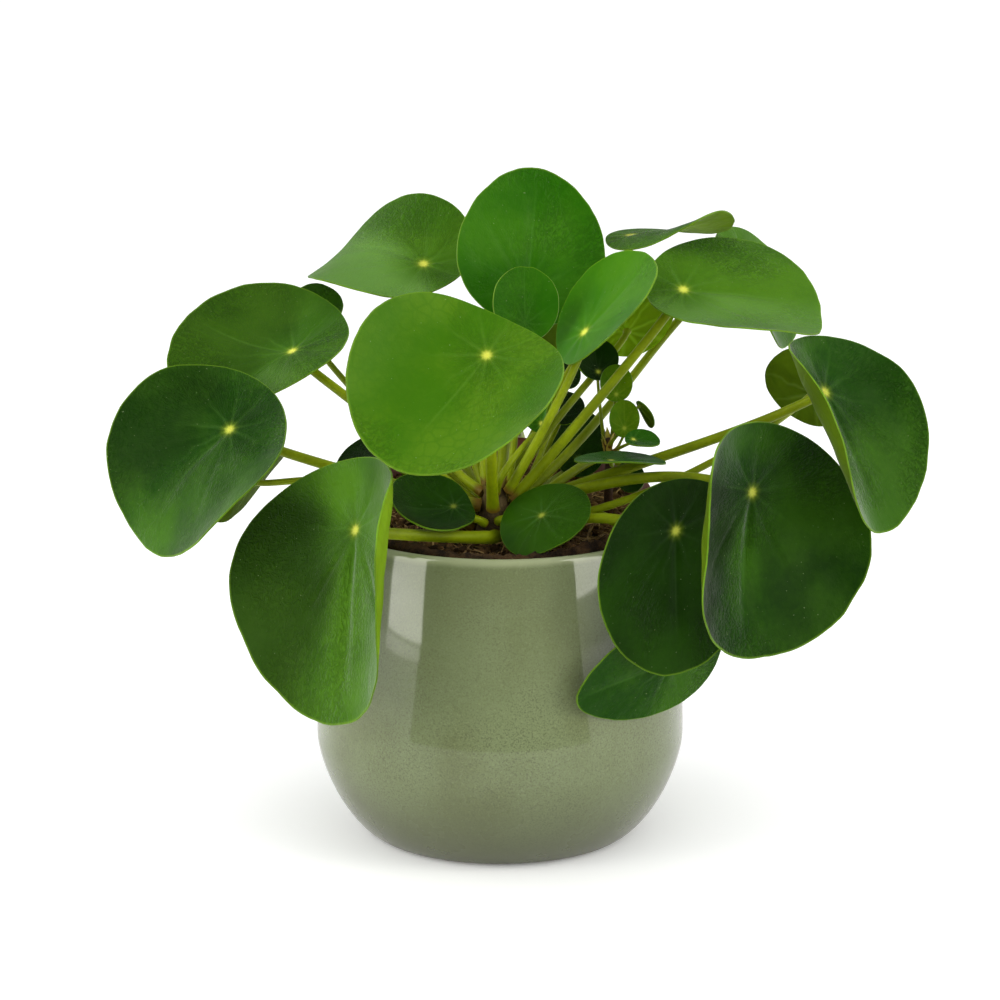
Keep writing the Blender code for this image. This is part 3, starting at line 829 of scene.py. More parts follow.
class Disc:
    """A flat round sheet of rings, modelled once and copied for each blade and for the peat."""

    def __init__(self, spokes: int, rings: int) -> None:
        """Models the disc with radius 1.

        Args:
            spokes: How many points each ring has.
            rings: How many rings.
        """
        deselect()
        bpy.ops.mesh.primitive_circle_add(vertices=spokes, radius=1.0, fill_type="NGON")
        shape = bpy.context.object
        edit_all(shape)
        for _ in range(rings - 1):
            bpy.ops.mesh.inset(thickness=cos(pi / spokes) / rings, use_even_offset=True)
        bpy.ops.mesh.poke()
        bpy.ops.object.mode_set(mode="OBJECT")
        self.mesh = shape.data
        bpy.data.objects.remove(shape)
        if self.mesh.uv_layers:
            self.mesh.uv_layers.remove(self.mesh.uv_layers[0])

    def copy(self, name: str) -> Piece:
        """A new piece with its own copy of the disc.

        Args:
            name: The piece's name.

        Returns:
            The piece.
        """
        mesh = self.mesh.copy()
        mesh.name = name
        return new_piece(name, mesh)


def turned(name: str, profile: Sequence[Pair], steps: int) -> Piece:
    """A turned solid.

    Args:
        name: The piece's name.
        profile: Radius and height of each point, from the top of the axis round the outer side.
        steps: How many steps one turn takes.

    Returns:
        The piece, with its faces outwards.
    """
    mesh = bpy.data.meshes.new(name)
    points = [(radius * MM, 0.0, height * MM) for radius, height in profile]
    mesh.from_pydata(points, [(i, i + 1) for i in range(len(points) - 1)], [])
    piece = new_piece(name, mesh)
    turn = piece.modifiers.new("turn", "SCREW")
    turn.steps = steps
    turn.render_steps = steps
    turn.use_merge_vertices = True
    turn.merge_threshold = 0.001 * MM
    apply_all(piece)
    outwards(piece)
    return piece


def tube(name: str, route: Sequence[Vector], radii: Sequence[float], sides: int) -> Piece:
    """A closed tube along a route, drawn as a curve and made a mesh, with its share of the way kept.

    Args:
        name: The piece's name.
        route: The points of its middle line, in millimetres.
        radii: The radius at each point.
        sides: How finely its round is cut, as the curve's bevel resolution.

    Returns:
        The piece, with the attribute "share" from 0 at the start to 1 at the end.
    """
    curve = bpy.data.curves.new(name, "CURVE")
    curve.dimensions = "3D"
    curve.bevel_depth = MM
    curve.bevel_resolution = sides
    curve.use_fill_caps = True
    line = curve.splines.new("POLY")
    line.points.add(len(route) - 1)
    for point, place, radius in zip(line.points, route, radii):
        point.co = (*(place * MM), 1.0)
        point.radius = radius
    choose(new_piece(name, curve))
    bpy.ops.object.convert(target="MESH")
    piece = bpy.context.object
    piece.data.name = name
    outwards(piece)
    places = positions(piece.data) / MM
    middle = np.array([tuple(place) for place in route])
    nearest = ((places[:, None, :] - middle[None, :, :]) ** 2).sum(2).argmin(1)
    set_values(piece.data, "share", nearest / (len(route) - 1))
    return piece


# ---------------------------------------------------------------------------------------------------------
# Pots and peat


@dataclass
class OuterPot:
    """The glazed outer pot: flat foot, round belly, wall drawn in to a rounded rim."""

    height: float = 127.0
    belly_radius: float = 74.0
    belly_height: float = 40.0
    rim_radius: float = 66.5
    foot_radius: float = 51.0
    foot_chamfer: float = 1.2
    wall: float = 4.5
    floor: float = 8.8
    floor_corner: float = 5.0
    exponent: float = 1.5
    foot_recess: float = 1.0
    foot_ring: float = 6.0
    steps: int = 192

    OUTER_POINTS = 70
    INNER_POINTS = 40
    RIM_STEPS = 14
    COVE_STEPS = 8
    HEEL_STEPS = 5
    RECESS_EDGE = ((0.8, 0.6), (2.0, 1.0))  # how far inside the foot's ring it is how deep, in shares

    def outline(self, inset: float, bottom: float, count: int) -> list[Pair]:
        """The wall's line from the bottom to the rim.

        Args:
            inset: How far it lies inside the outer face.
            bottom: The height it starts from.
            count: How many points it has.

        Returns:
            Radius and height of each point.
        """
        rise = self.belly_height / (self.height - self.belly_height)
        points = []
        for i in range(count):
            share = i / (count - 1)
            height = bottom + (self.height - bottom) * share ** (1.0 + rise)
            if height < self.belly_height:
                drop = 1.0 - height / self.belly_height
                bulge = (1.0 - drop ** self.exponent) ** (1.0 / self.exponent)
                radius = self.foot_radius + (self.belly_radius - self.foot_radius) * bulge
            else:
                climb = (height - self.belly_height) / (self.height - self.belly_height)
                radius = self.belly_radius - (self.belly_radius - self.rim_radius) * climb * climb
            points.append((radius - inset, height))
        return points

    def build(self, effects: Effects) -> Piece:
        """Turns the pot and glazes it.

        Args:
            effects: The shared node groups.

        Returns:
            The pot.
        """
        half = self.wall / 2
        rim = arc((self.rim_radius - half, self.height - half), half, 180.0, 0.0, self.RIM_STEPS)
        outer = self.outline(0.0, self.foot_chamfer, self.OUTER_POINTS)
        inner = self.outline(self.wall, self.floor + self.floor_corner, self.INNER_POINTS)
        corner = (inner[0][0] - self.floor_corner, self.floor + self.floor_corner)
        cove = arc(corner, self.floor_corner, -90.0, 0.0, self.COVE_STEPS)[:-1]
        below = self.height - self.wall
        profile = [(0.0, self.floor), *cove, *[p for p in inner if p[1] < below], *rim]
        profile += [p for p in reversed(outer) if p[1] < below]
        heel = self.foot_radius - self.foot_chamfer
        profile += arc((heel, self.foot_chamfer), self.foot_chamfer, 0.0, -90.0, self.HEEL_STEPS)[1:]
        ring = heel - self.foot_ring
        recess = [(ring - inside, self.foot_recess * share) for inside, share in self.RECESS_EDGE]
        profile += [(ring, 0.0), *recess, (0.0, self.foot_recess)]
        pot = turned("outer_pot_glazed", profile, self.steps)
        smooth(pot, 60.0)
        look = GlazeFinish().material(effects, self.height, 0.0)
        finish_piece(pot, "outer_pot", "sage_glaze", [look])
        return pot


@dataclass
class NurseryPot:
    """The thin plastic pot, leaning towards the show side inside the outer one."""

    lean: float = 11.0
    centre: Point = (0.0, 1.5, 136.0)
    lip_radius: float = 61.5
    lip_height: float = 6.0
    radius: float = 58.0
    base_radius: float = 41.0
    height: float = 121.6
    wall: float = 1.3
    foot: float = 2.5
    edge: float = 0.5
    drain_holes: int = 6
    drain_radius: float = 5.0
    drain_circle: float = 24.0
    steps: int = 144

    LIP_CORNER = (0.4, 0.15)  # how far its inner corner is cut back sideways and downwards

    def radius_at(self, depth: float) -> float:
        """Its outer radius at a depth below the lip's plane."""
        return self.radius + (self.base_radius - self.radius) * depth / self.height

    def drill(self, piece: Piece) -> None:
        """Cuts the drain holes through the floor of the pot, still upright.

        Args:
            piece: The pot.
        """
        for i in range(self.drain_holes):
            turn = 2 * pi * i / self.drain_holes
            middle = Vector((cos(turn) * self.drain_circle, sin(turn) * self.drain_circle, -self.height))
            deselect()
            bpy.ops.mesh.primitive_cylinder_add(vertices=24, radius=self.drain_radius * MM,
                                                depth=4 * self.wall * MM, location=middle * MM)
            bit = bpy.context.object
            cut = piece.modifiers.new("drain", "BOOLEAN")
            cut.operation = "DIFFERENCE"
            cut.object = bit
            apply_all(piece)
            bpy.data.objects.remove(bit)

    def lean_in(self, piece: Piece) -> None:
        """Puts a piece built at the lip's plane into the leaning pot's place.

        Args:
            piece: The piece.
        """
        piece.location = Vector(self.centre) * MM
        piece.rotation_euler = (radians(self.lean), 0.0, 0.0)
        settle(piece)

    def build(self, effects: Effects) -> Piece:
        """Turns the pot with its folded lip, drills its drain holes and leans it in.

        Args:
            effects: The shared node groups.

        Returns:
            The pot.
        """
        floor = self.wall - self.height
        profile = [
            (0.0, floor),
            (self.base_radius - self.wall - self.foot, floor),
            (self.radius_at(-floor - self.foot) - self.wall, floor + self.foot),
            (self.radius_at(self.lip_height) - self.wall, -self.lip_height),
            (self.lip_radius - 2 * self.wall, -self.wall),
            (self.lip_radius - self.wall - self.LIP_CORNER[0], -self.LIP_CORNER[1]),
            (self.lip_radius - self.wall, 0.0),
            (self.lip_radius - self.edge, 0.0),
            (self.lip_radius - self.edge * 0.3, -self.edge * 0.3),
            (self.lip_radius, -self.edge),
            (self.lip_radius, self.edge - self.lip_height),
            (self.lip_radius - self.edge, -self.lip_height),
            (self.radius_at(self.lip_height), -self.lip_height),
            (self.radius_at(self.height - self.foot), self.foot - self.height),
            (self.base_radius - self.foot, -self.height),
            (0.0, -self.height),
        ]
        pot = turned("nursery_pot_plastic", profile, self.steps)
        self.drill(pot)
        self.lean_in(pot)
        smooth(pot, 35.0)
        finish_piece(pot, "nursery_pot", "brown_plastic", [PlasticFinish().material(effects)])
        return pot


@dataclass
class Peat:
    """The peat: an uneven block with crumbs and fibres on top."""

    pot: NurseryPot
    drop: float = 7.0
    crown: float = 1.0
    gap: float = 0.3
    relief: float = 1.1
    crumbs: int = 2600
    fibres: int = 1300
    seed: int = 11
    spill_turn: float = 58.0
    spill_radius: float = 59.8
    spill_thick: float = 3.4
    spill_height: float = 2.2
    rng: np.random.Generator = field(init=False)

    LUMPS = ((9.0, 1.0, 3, 0.6), (3.0, 2.0, 2, 0.35))  # size, seed, layers and share of the relief
    EDGE_DROP = 0.8  # how far the top sinks at its edge
    CLEAR_BELOW = 2.0  # how far the block keeps from the pot's floor, and at its foot from the wall
    CLEAR_BESIDE = 0.5
    SPILL_STEPS = 96
    FIBRE_BEND = 0.5  # the most that a fibre bends and sways, in shares of its length
    FIBRE_SWAY = 0.35
    FIBRE_THICK = 0.032
    FIBRE_TAPER = 0.7
    MARGIN = 1.2  # how far the middles of the crumbs and fibres keep from its edge
    SMALL_BITS = 2.2  # the higher, the more of them are small

    def __post_init__(self) -> None:
        """Seeds the random draws."""
        self.rng = np.random.default_rng(self.seed)

    def edge(self) -> float:
        """The radius of its top."""
        return self.pot.radius_at(self.pot.lip_height) - self.pot.wall - self.gap

    def surface(self, across: Values, along: Values) -> Values:
        """The height of its top over the lip's plane.

        Args:
            across: The points' x.
            along: The points' y, both at the lip's plane.

        Returns:
            One height a point.
        """
        radius = np.hypot(across, along) / self.edge()
        points = np.column_stack([across, along, np.zeros_like(across)])
        lumps = sum(waves(points, size, seed, depth) * part for size, seed, depth, part in self.LUMPS)
        crown = self.crown * (1.0 - radius ** 2) - self.EDGE_DROP * step_up(radius, 0.93, 1.0)
        return -self.drop + crown + self.relief * lumps

    def build_block(self, effects: Effects) -> Piece:
        """The block itself.

        Args:
            effects: The shared node groups.

        Returns:
            The block.
        """
        piece = Disc(120, 44).copy("peat_block")
        flat = positions(piece.data) * self.edge()
        flat[:, 2] = self.surface(flat[:, 0], flat[:, 1])
        set_positions(piece.data, flat * MM)
        choose(piece)
        bpy.ops.object.mode_set(mode="EDIT")
        bpy.ops.mesh.select_all(action="DESELECT")
        bpy.ops.mesh.select_mode(type="EDGE")
        bpy.ops.mesh.select_non_manifold()
        depth = self.pot.height - self.pot.wall - self.drop - self.CLEAR_BELOW
        share = (self.pot.base_radius - self.pot.wall - self.pot.foot - self.CLEAR_BESIDE) / self.edge()
        bpy.ops.mesh.extrude_region_move(TRANSFORM_OT_translate={"value": (0.0, 0.0, -depth * MM)})
        bpy.ops.transform.resize(value=(share, share, 0.0),
                                 center_override=(0.0, 0.0, (-self.drop - depth) * MM))
        bpy.ops.mesh.edge_face_add()
        bpy.ops.object.mode_set(mode="OBJECT")
        outwards(piece)
        self.pot.lean_in(piece)
        smooth(piece, 50.0)
        look = EarthFinish("peat", (0.016, 0.009, 0.004), (0.17, 0.1, 0.04), 420.0, 1.0)
        finish_piece(piece, "soil", "peat", [look.material(effects)])
        return piece

    def build_spill(self, effects: Effects) -> Piece:
        """Peat heaped over the lip towards the show side, up to the glazed rim.

        Args:
            effects: The shared node groups.

        Returns:
            The heap.
        """
        route, radii = [], []
        for i in range(self.SPILL_STEPS + 1):
            share = i / self.SPILL_STEPS
            turn = radians(-90.0 + self.spill_turn * (2.0 * share - 1.0))
            thick = self.spill_thick * (1.0 - (2.0 * abs(share - 0.5)) ** 4) + 0.2
            wide = self.spill_radius + 0.4 * sin(23.0 * share)
            route.append(Vector((cos(turn) * wide, sin(turn) * wide, self.spill_height - thick)))
            radii.append(thick)
        piece = tube("peat_spill", route, radii, 7)
        push_out(piece, waves(positions(piece.data) / MM, 3.2, 8.0, 3) * 1.5)
        self.pot.lean_in(piece)
        smooth(piece, 60.0)
        look = EarthFinish("peat_spill", (0.012, 0.006, 0.003), (0.15, 0.08, 0.03), 520.0, 1.2)
        finish_piece(piece, "soil", "peat", [look.material(effects)])
        return piece

    def scatter(self, name: str, bits: list[Values], faces: Values, count: int, sizes: Pair,
                stretch: Pair, lift: Pair, tints_and_painted_light: Pair, tilt: float) -> Piece:
        """Strews copies of small shapes over the top as one piece.

        Args:
            name: The piece's name.
            bits: The shapes' points, each about 1 mm across.
            faces: The faces that all the shapes share.
            count: How many copies.
            sizes: The smallest and the largest size.
            stretch: The least and the most that a copy is drawn out along its length.
            lift: How far the copies lie above the surface, from and to.
            tints_and_painted_light: The range of each copy's own tint.
            tilt: How far a copy tilts from level, in degrees.

        Returns:
            The piece.
        """
        rng = self.rng
        radius = np.sqrt(rng.uniform(0.0, 1.0, count)) * (self.edge() - self.MARGIN)
        turn = rng.uniform(0.0, 2 * pi, count)
        across, along = radius * np.cos(turn), radius * np.sin(turn)
        ground = self.surface(across, along)
        points, tint, rows = [], [], []
        width = len(bits[0])
        for i in range(count):
            size = sizes[0] + (sizes[1] - sizes[0]) * rng.random() ** self.SMALL_BITS
            shape = bits[int(rng.integers(len(bits)))] * size
            shape = shape * np.array([rng.uniform(*stretch), 1.0, rng.uniform(0.6, 1.0)])
            matrix = Matrix.Rotation(rng.uniform(0.0, 2 * pi), 3, "Z") @ Matrix.Rotation(
                radians(rng.uniform(-tilt, tilt)), 3, "Y") @ Matrix.Rotation(rng.uniform(0.0, 2 * pi), 3, "X")
            shape = shape @ np.array(matrix).T
            points.append(shape + np.array([across[i], along[i], ground[i] + rng.uniform(*lift) * size]))
            tint.append(np.full(width, rng.uniform(*tints_and_painted_light) ** 2))
            rows.append(faces + i * width)
        mesh = bpy.data.meshes.new(name)
        mesh.from_pydata((np.concatenate(points) * MM).tolist(), [], np.concatenate(rows).tolist())
        set_values(mesh, "tint", np.concatenate(tint))
        piece = new_piece(name, mesh)
        self.pot.lean_in(piece)
        smooth(piece, 60.0)
        return piece

    def build_crumbs(self, effects: Effects) -> Piece:
        """Crumbs of peat, from one ball of few faces in four uneven shapes.

        Args:
            effects: The shared node groups.

        Returns:
            The crumbs as one piece.
        """
        deselect()
        bpy.ops.mesh.primitive_ico_sphere_add(subdivisions=2, radius=0.5)
        ball = bpy.context.object
        round_points = positions(ball.data)
        faces = np.array([list(face.vertices) for face in ball.data.polygons])
        bpy.data.objects.remove(ball)
        bits = []
        for i in range(4):
            swell = 1.0 + 0.5 * waves(round_points, 0.45, 5.0 + i, 2)
            bits.append(round_points * swell[:, None])
        piece = self.scatter("peat_crumbs", bits, faces, self.crumbs, (0.9, 4.2), (0.8, 1.7), (-0.1, 0.3),
                             (0.0, 0.75), 30.0)
        look = EarthFinish("peat_crumb", (0.024, 0.013, 0.005), (0.33, 0.18, 0.065), 700.0, 0.4, True)
        finish_piece(piece, "soil", "peat", [look.material(effects)])
        return piece

    def build_fibres(self, effects: Effects) -> Piece:
        """Plant fibres, each a thin bent strand with three sides.

        Args:
            effects: The shared node groups.

        Returns:
            The fibres as one piece.
        """
        bits = []
        rings, sides = 7, 3
        for i in range(6):
            bend = self.rng.uniform(-self.FIBRE_BEND, self.FIBRE_BEND)
            sway = self.rng.uniform(-self.FIBRE_SWAY, self.FIBRE_SWAY)
            strand = []
            for ring in range(rings):
                share = ring / (rings - 1) - 0.5
                thick = self.FIBRE_THICK * (1.0 - (2 * abs(share)) ** 3 * self.FIBRE_TAPER)
                middle = np.array([share, bend * share * share + sway * share ** 3 * 2,
                                   sway * share * share])
                for side in range(sides):
                    turn = 2 * pi * side / sides
                    strand.append(middle + np.array([0.0, cos(turn) * thick, sin(turn) * thick]))
            bits.append(np.array(strand))
        faces = []
        for ring in range(rings - 1):
            for side in range(sides):
                near, far = ring * sides + side, ring * sides + (side + 1) % sides
                faces += [(near, far, far + sides), (near, far + sides, near + sides)]
        last = (rings - 1) * sides
        faces += [(2, 1, 0), (last, last + 1, last + 2)]
        piece = self.scatter("peat_fibres", bits, np.array(faces), self.fibres, (3.5, 15.0), (0.8, 1.2),
                             (0.02, 0.12), (0.1, 1.0), 22.0)
        outwards(piece)
        look = EarthFinish("peat_fibre", (0.08, 0.048, 0.018), (0.62, 0.4, 0.17), 900.0, 0.1, True, 0.8)
        finish_piece(piece, "soil", "peat", [look.material(effects)])
        return piece


# ---------------------------------------------------------------------------------------------------------
# Stems and leaves


@dataclass(frozen=True)
class Stem:
    """A stem: its axis, how its radius shrinks with height, and how its leaves' stalks are drawn.

    Attributes:
        name: The CAD node's name.
        axis: Its x and y.
        bottom: The height of its lower end.
        top: The height of its tip.
        radius: Its radius below taper_from.
        taper: How much thinner it gets a millimetre above that.
        taper_from: The height where that starts.
        stalk_gap: The gap between it and a stalk's foot.
        stalk_radius: The stalk's radius at the stem and at the blade, each with its growth a millimetre of
            blade.
        scars: How many leaf scars ring it.
    """

    name: str
    axis: Pair
    bottom: float
    top: float
    radius: float
    taper: float
    taper_from: float
    stalk_gap: float
    stalk_radius: tuple[float, float, float, float]
    scars: int

    RINGS = 6  # from one scar to the next

    def radius_at(self, height: float) -> float:
        """Its radius at a height above the ground."""
        return self.radius - max(height - self.taper_from, 0.0) * self.taper

    def build(self, effects: Effects, look: EarthFinish) -> Piece:
        """The stem with its leaf scars and an uneven skin.

        Args:
            effects: The shared node groups.
            look: Its finish.

        Returns:
            The stem.
        """
        profile = [(0.0, self.top), (self.radius_at(self.top) * 0.6, self.top - 0.25)]
        count = self.scars * self.RINGS
        for i in range(count + 1):
            height = self.top - 1.0 - (self.top - self.bottom - 1.0) * i / count
            swell = 0.955 + 0.045 * cos(2 * pi * i / self.RINGS) ** 4
            profile.append((self.radius_at(height) * swell, height))
        profile.append((0.0, self.bottom))
        piece = turned(self.name + "_bark", profile, 40)
        skin = waves(positions(piece.data) / MM, self.radius * 0.5, 3.0, 3)
        push_out(piece, skin * self.radius * 0.035)
        piece.location = Vector((*self.axis, 0.0)) * MM
        settle(piece)
        smooth(piece, 50.0)
        finish_piece(piece, self.name, "stem_bark", [look.material(effects)])
        return piece


MAIN_STEM = Stem("main_stem", (-2.0, -20.0), 106.0, 149.0, 8.2, 0.22, 126.0, 0.2, (1.0, 0.016, 0.8, 0.012), 6)
PUP_STEM = Stem("pup_stem", (43.0, -4.0), 118.0, 161.5, 2.0, 0.02, 128.0, 0.15, (0.5, 0.012, 0.4, 0.01), 5)


@dataclass(frozen=True)
class Leaf:
    """One leaf: a round blade and the stalk that joins its underside at the hub.

    Attributes:
        name: The CAD node's name.
        hub: Where the stalk meets the upper face.
        size: Length and width of the blade.
        hub_share: How far the hub lies from the base margin, in shares of the length.
        facing: (azimuth, lean, spin): where the upper face looks, how far it leans from level, and the turn
            of the tip about the face.
        curl: (tip, base, left, right): how far each margin bends down from the upper face, or up if negative.
        stalk: (height, azimuth, rise) of its start on the stem.
        sweep: How far the stalk keeps its first and its last direction, in shares of its length.
        taper: How much wider the blade is at its tip's end.
        twist: How far the blade is twisted along its length.
        over: Two points that pull the stalk over the pots' rims, where it needs them.
        tone: How it looks.
        crease: The depth of the fold along its middle line, from the hub to the tip.
        pucker: The height of the swellings between its veins.
        notch: How uneven its margin is.
        hub_glow: How bright the spot at its hub is.
        tints_and_painted_light: (direction, spread, depth) of painted shade on the upper face, or of painted
            sheen where the depth is negative.
    """

    name: str
    hub: Point
    size: Pair
    hub_share: float
    facing: Point
    curl: tuple[float, float, float, float]
    stalk: Point
    sweep: Pair = (0.35, 0.16)
    taper: float = 0.0
    twist: float = 0.0
    over: tuple[Point, ...] = ()
    tone: Tone = Tone.DARK
    crease: float = 0.5
    pucker: float = 0.35
    notch: float = 0.5
    hub_glow: float = 1.0
    tints_and_painted_light: tuple[Point, ...] = ()

    TINY = 20.0  # a shorter blade is tiny, and one from here to SMALL is small
    SMALL = 42.0
    FULL = 80.0  # a shorter blade has weaker swellings and veins
    ROUTE_POINTS = (22, 34, 56)  # of a tiny, a small and a large leaf's stalk
    ROUNDING = (2, 4, 4)
    MAP_FULL = 55.0  # a shorter blade has a smaller map, down to the share MAP_LEAST
    MAP_LEAST = 0.45
    THICKNESS = 0.6
    DIMPLE = 0.35  # how deep the hub lies in a full-size blade
    VEINS = 9
    VEIN_HEIGHT = 0.13
    FOLD = (1.3, 0.05)  # the middle fold's half width at the hub, and its growth a millimetre
    SIDE_TURN = 0.62  # the angle between the middle fold and each side fold, in radians
    SIDE_END = 1.5  # the angle past which there are no side folds
    SIDE_FOLD = (1.6, 0.45)  # the side folds' half width, and their share of the crease
    SWELLINGS = (3.0, 17.0)  # the least size of the swellings, and what a full-size blade adds
    RIPPLES = (2.0, 8.0)  # the same for the ripples along the margin
    RIPPLE_HEIGHT = 0.3
    LAST_FACE = 0.85  # how far a stalk ends straight up into the face, and how far along its whole way
    LAST_SPAN = 0.35
    FOOT_FLARE = (0.22, 4.0)  # how much thicker a stalk starts, in shares, and how fast that goes
    NECK_FLARE = (0.45, 1.6)  # the same towards its end
    BLUR = 14.0  # how far the painted shade or sheen fades past its spread, and how far before it
    TUCKED = 6.0  # this near to the hub, a stalk is kept under the face

    def stem(self) -> Stem:
        """The stem it grows from."""
        return PUP_STEM if self.name.startswith("pup_") else MAIN_STEM

    def seed(self) -> float:
        """A number of its own, so that no two leaves have the same wrinkles."""
        return (sum(ord(letter) * (i + 1) for i, letter in enumerate(self.name)) % 997) / 10.0

    def matrix(self) -> Matrix:
        """The blade's turn: x to the tip, y to its left side, z out of the upper face.

        Returns:
            The turn.
        """
        turns = zip(self.facing, "ZYZ")
        azimuth, lean, spin = (Matrix.Rotation(radians(angle), 3, axis) for angle, axis in turns)
        return azimuth @ lean @ spin

    def face(self) -> Vector:
        """The way that the upper face looks at its hub."""
        return self.matrix() @ Vector((0.0, 0.0, 1.0))

    def grade(self) -> int:
        """0 for a tiny blade, 1 for a small one and 2 for a large one."""
        return (self.size[0] >= self.TINY) + (self.size[0] >= self.SMALL)

    def strength(self) -> float:
        """How strong its swellings and veins are, 1 for a full-size blade."""
        return min(1.0, self.size[0] / self.FULL)

    def stalk_depth(self) -> float:
        """How far under the hub its stalk ends, in the middle of the blade's thickness."""
        return self.THICKNESS / 2 + self.DIMPLE * self.strength()

    def bent(self, along: Values, across: Values) -> Values:
        """The points of the bent blade for points of the flat one, in the blade's own frame.

        Args:
            along: How far each point lies towards the tip.
            across: How far it lies to the left.

        Returns:
            One row a point.
        """
        length, width = self.size
        tip, base, left, right = (radians(angle) for angle in self.curl)
        bend = np.where(across >= 0.0, left, right) / (width / 2)
        bend = np.where(np.abs(bend) > 1e-6, bend, 1e-6)
        side = bend * np.abs(across)
        sideways = np.sin(side) / bend
        sink = -(1.0 - np.cos(side)) / bend
        ahead = along >= 0.0
        droop = np.where(ahead, tip / ((1.0 - self.hub_share) * length), base / (self.hub_share * length))
        droop = np.where(np.abs(droop) > 1e-6, droop, 1e-6)
        turn = droop * np.abs(along)
        reach = 1.0 / droop
        forward = np.sin(turn) * (reach + sink) * np.where(ahead, 1.0, -1.0)
        height = (reach + sink) * np.cos(turn) - reach
        height += sin(radians(self.twist)) * across * along / length
        return np.column_stack([forward, sideways * np.where(across >= 0.0, 1.0, -1.0), height])

    def relief(self, along: Values, across: Values, share: Values) -> Values:
        """How far the upper face stands out of the smooth blade.

        Args:
            along: How far each point lies towards the tip.
            across: How far it lies to the left.
            share: How far it lies from the hub to the margin.

        Returns:
            One height a point.
        """
        length, small = self.size[0], self.strength()
        flat = np.column_stack([along, across, np.zeros_like(along)])
        radius = np.hypot(along, across)
        angle = np.arctan2(across, along)
        fold = np.exp(-(across / (self.FOLD[0] + self.FOLD[1] * np.abs(along))) ** 2)
        fold *= step_up(along, 0.0, 0.1 * length) * step_down(along, 0.45 * length, 0.72 * length)
        side_width, side_share = self.SIDE_FOLD
        sides = np.exp(-((np.abs(angle) - self.SIDE_TURN) * radius / side_width) ** 2)
        sides *= np.abs(angle) < self.SIDE_END
        sides *= step_up(radius, 0.05 * length, 0.2 * length) * step_down(radius, 0.3 * length, 0.6 * length)
        least, grown = self.SWELLINGS
        swell = waves(flat, grown * small + least, self.seed(), 2) * self.pucker * small
        spokes = np.cos(angle * self.VEINS + 0.4 * np.sin(3.0 * angle)) * self.VEIN_HEIGHT * small
        spokes *= step_up(share, 0.1, 0.4) * step_down(share, 0.7, 1.0)
        least, grown = self.RIPPLES
        ripple = waves(flat, grown * small + least, self.seed() + 3.0, 1) * self.RIPPLE_HEIGHT * self.notch
        ripple *= step_up(share, 0.75, 1.0)
        dimple = -self.DIMPLE * small * np.exp(-(radius / (2.4 * small + 0.5)) ** 2)
        return -self.crease * (fold + side_share * sides) + swell + spokes + ripple + dimple

    def tinted(self, along: Values, across: Values) -> Values:
        """How much painted shade each point of the upper face gets, or painted sheen where the value is
        negative.

        Args:
            along: How far each point lies towards the tip.
            across: How far it lies to the left.

        Returns:
            One value a point, from -1 to 1.
        """
        turn = np.degrees(np.arctan2(across, along))
        reach = step_up(np.hypot(along, across), 0.02 * self.size[0], 0.26 * self.size[0])
        depth = np.zeros_like(turn)
        for direction, spread, amount in self.tints_and_painted_light:
            apart = np.abs((turn - direction + 180.0) % 360.0 - 180.0)
            depth += amount * step_down(apart, spread - self.BLUR, spread + self.BLUR) * reach
        return np.clip(depth, -1.0, 1.0)

    def build_blade(self, disc: Disc, looks: Sequence[Material]) -> Piece:
        """The blade: the disc spread to the outline, bent, creased and given its thickness.

        Args:
            disc: The flat disc.
            looks: Upper face, underside and margin.

        Returns:
            The blade.
        """
        length, width = self.size
        piece = disc.copy(self.name + "_blade")
        flat = positions(piece.data)
        share = np.minimum(np.hypot(flat[:, 0], flat[:, 1]), 1.0)
        angle = np.arctan2(flat[:, 1], flat[:, 0])
        ring = np.column_stack([np.cos(angle), np.sin(angle), np.zeros_like(angle)])
        uneven = 1.0 - self.notch * 0.02 * (0.5 + waves(ring, 0.3, self.seed(), 3)) * share
        along = share * uneven * length * (0.5 - self.hub_share + 0.5 * np.cos(angle))
        across = share * uneven * width / 2 * np.sin(angle) * (1.0 + self.taper * np.cos(angle))
        set_positions(piece.data, self.bent(along, across) * MM)
        push_out(piece, self.relief(along, across, share))
        placed = positions(piece.data) @ np.array(self.matrix()).T + np.array(self.hub) * MM
        set_positions(piece.data, placed)
        set_values(piece.data, "share", share)
        set_values(piece.data, "hub", np.full(len(share), self.hub_glow))
        # The attribute "tint" carries painted shade, and painted sheen where it is negative.
        set_values(piece.data, "tint", self.tinted(along, across))
        own_map = piece.data.uv_layers.new(name="blade")
        corners = np.empty(len(piece.data.loops), dtype=np.int32)
        piece.data.loops.foreach_get("vertex_index", corners)
        unit = UV_UNIT * min(1.0, max(self.MAP_LEAST, length / self.MAP_FULL))
        flat_map = np.column_stack([along, across])[corners] / unit
        own_map.data.foreach_set("uv", flat_map.astype(np.float32).ravel())
        thick = piece.modifiers.new("thickness", "SOLIDIFY")
        thick.thickness = self.THICKNESS * MM
        thick.offset = -1.0
        thick.material_offset = 1
        thick.material_offset_rim = 2
        for look in looks:
            piece.data.materials.append(look)
        apply_all(piece)
        smooth(piece, 50.0)
        finish_piece(piece, self.name, self.slot(), looks)
        piece.visible_glossy = False
        return piece

    def slot(self) -> str:
        """The record's material slot of the leaf."""
        young = self.stem() is PUP_STEM or self.name in YOUNG_LEAVES
        return "young_leaf_green" if young else "leaf_green"

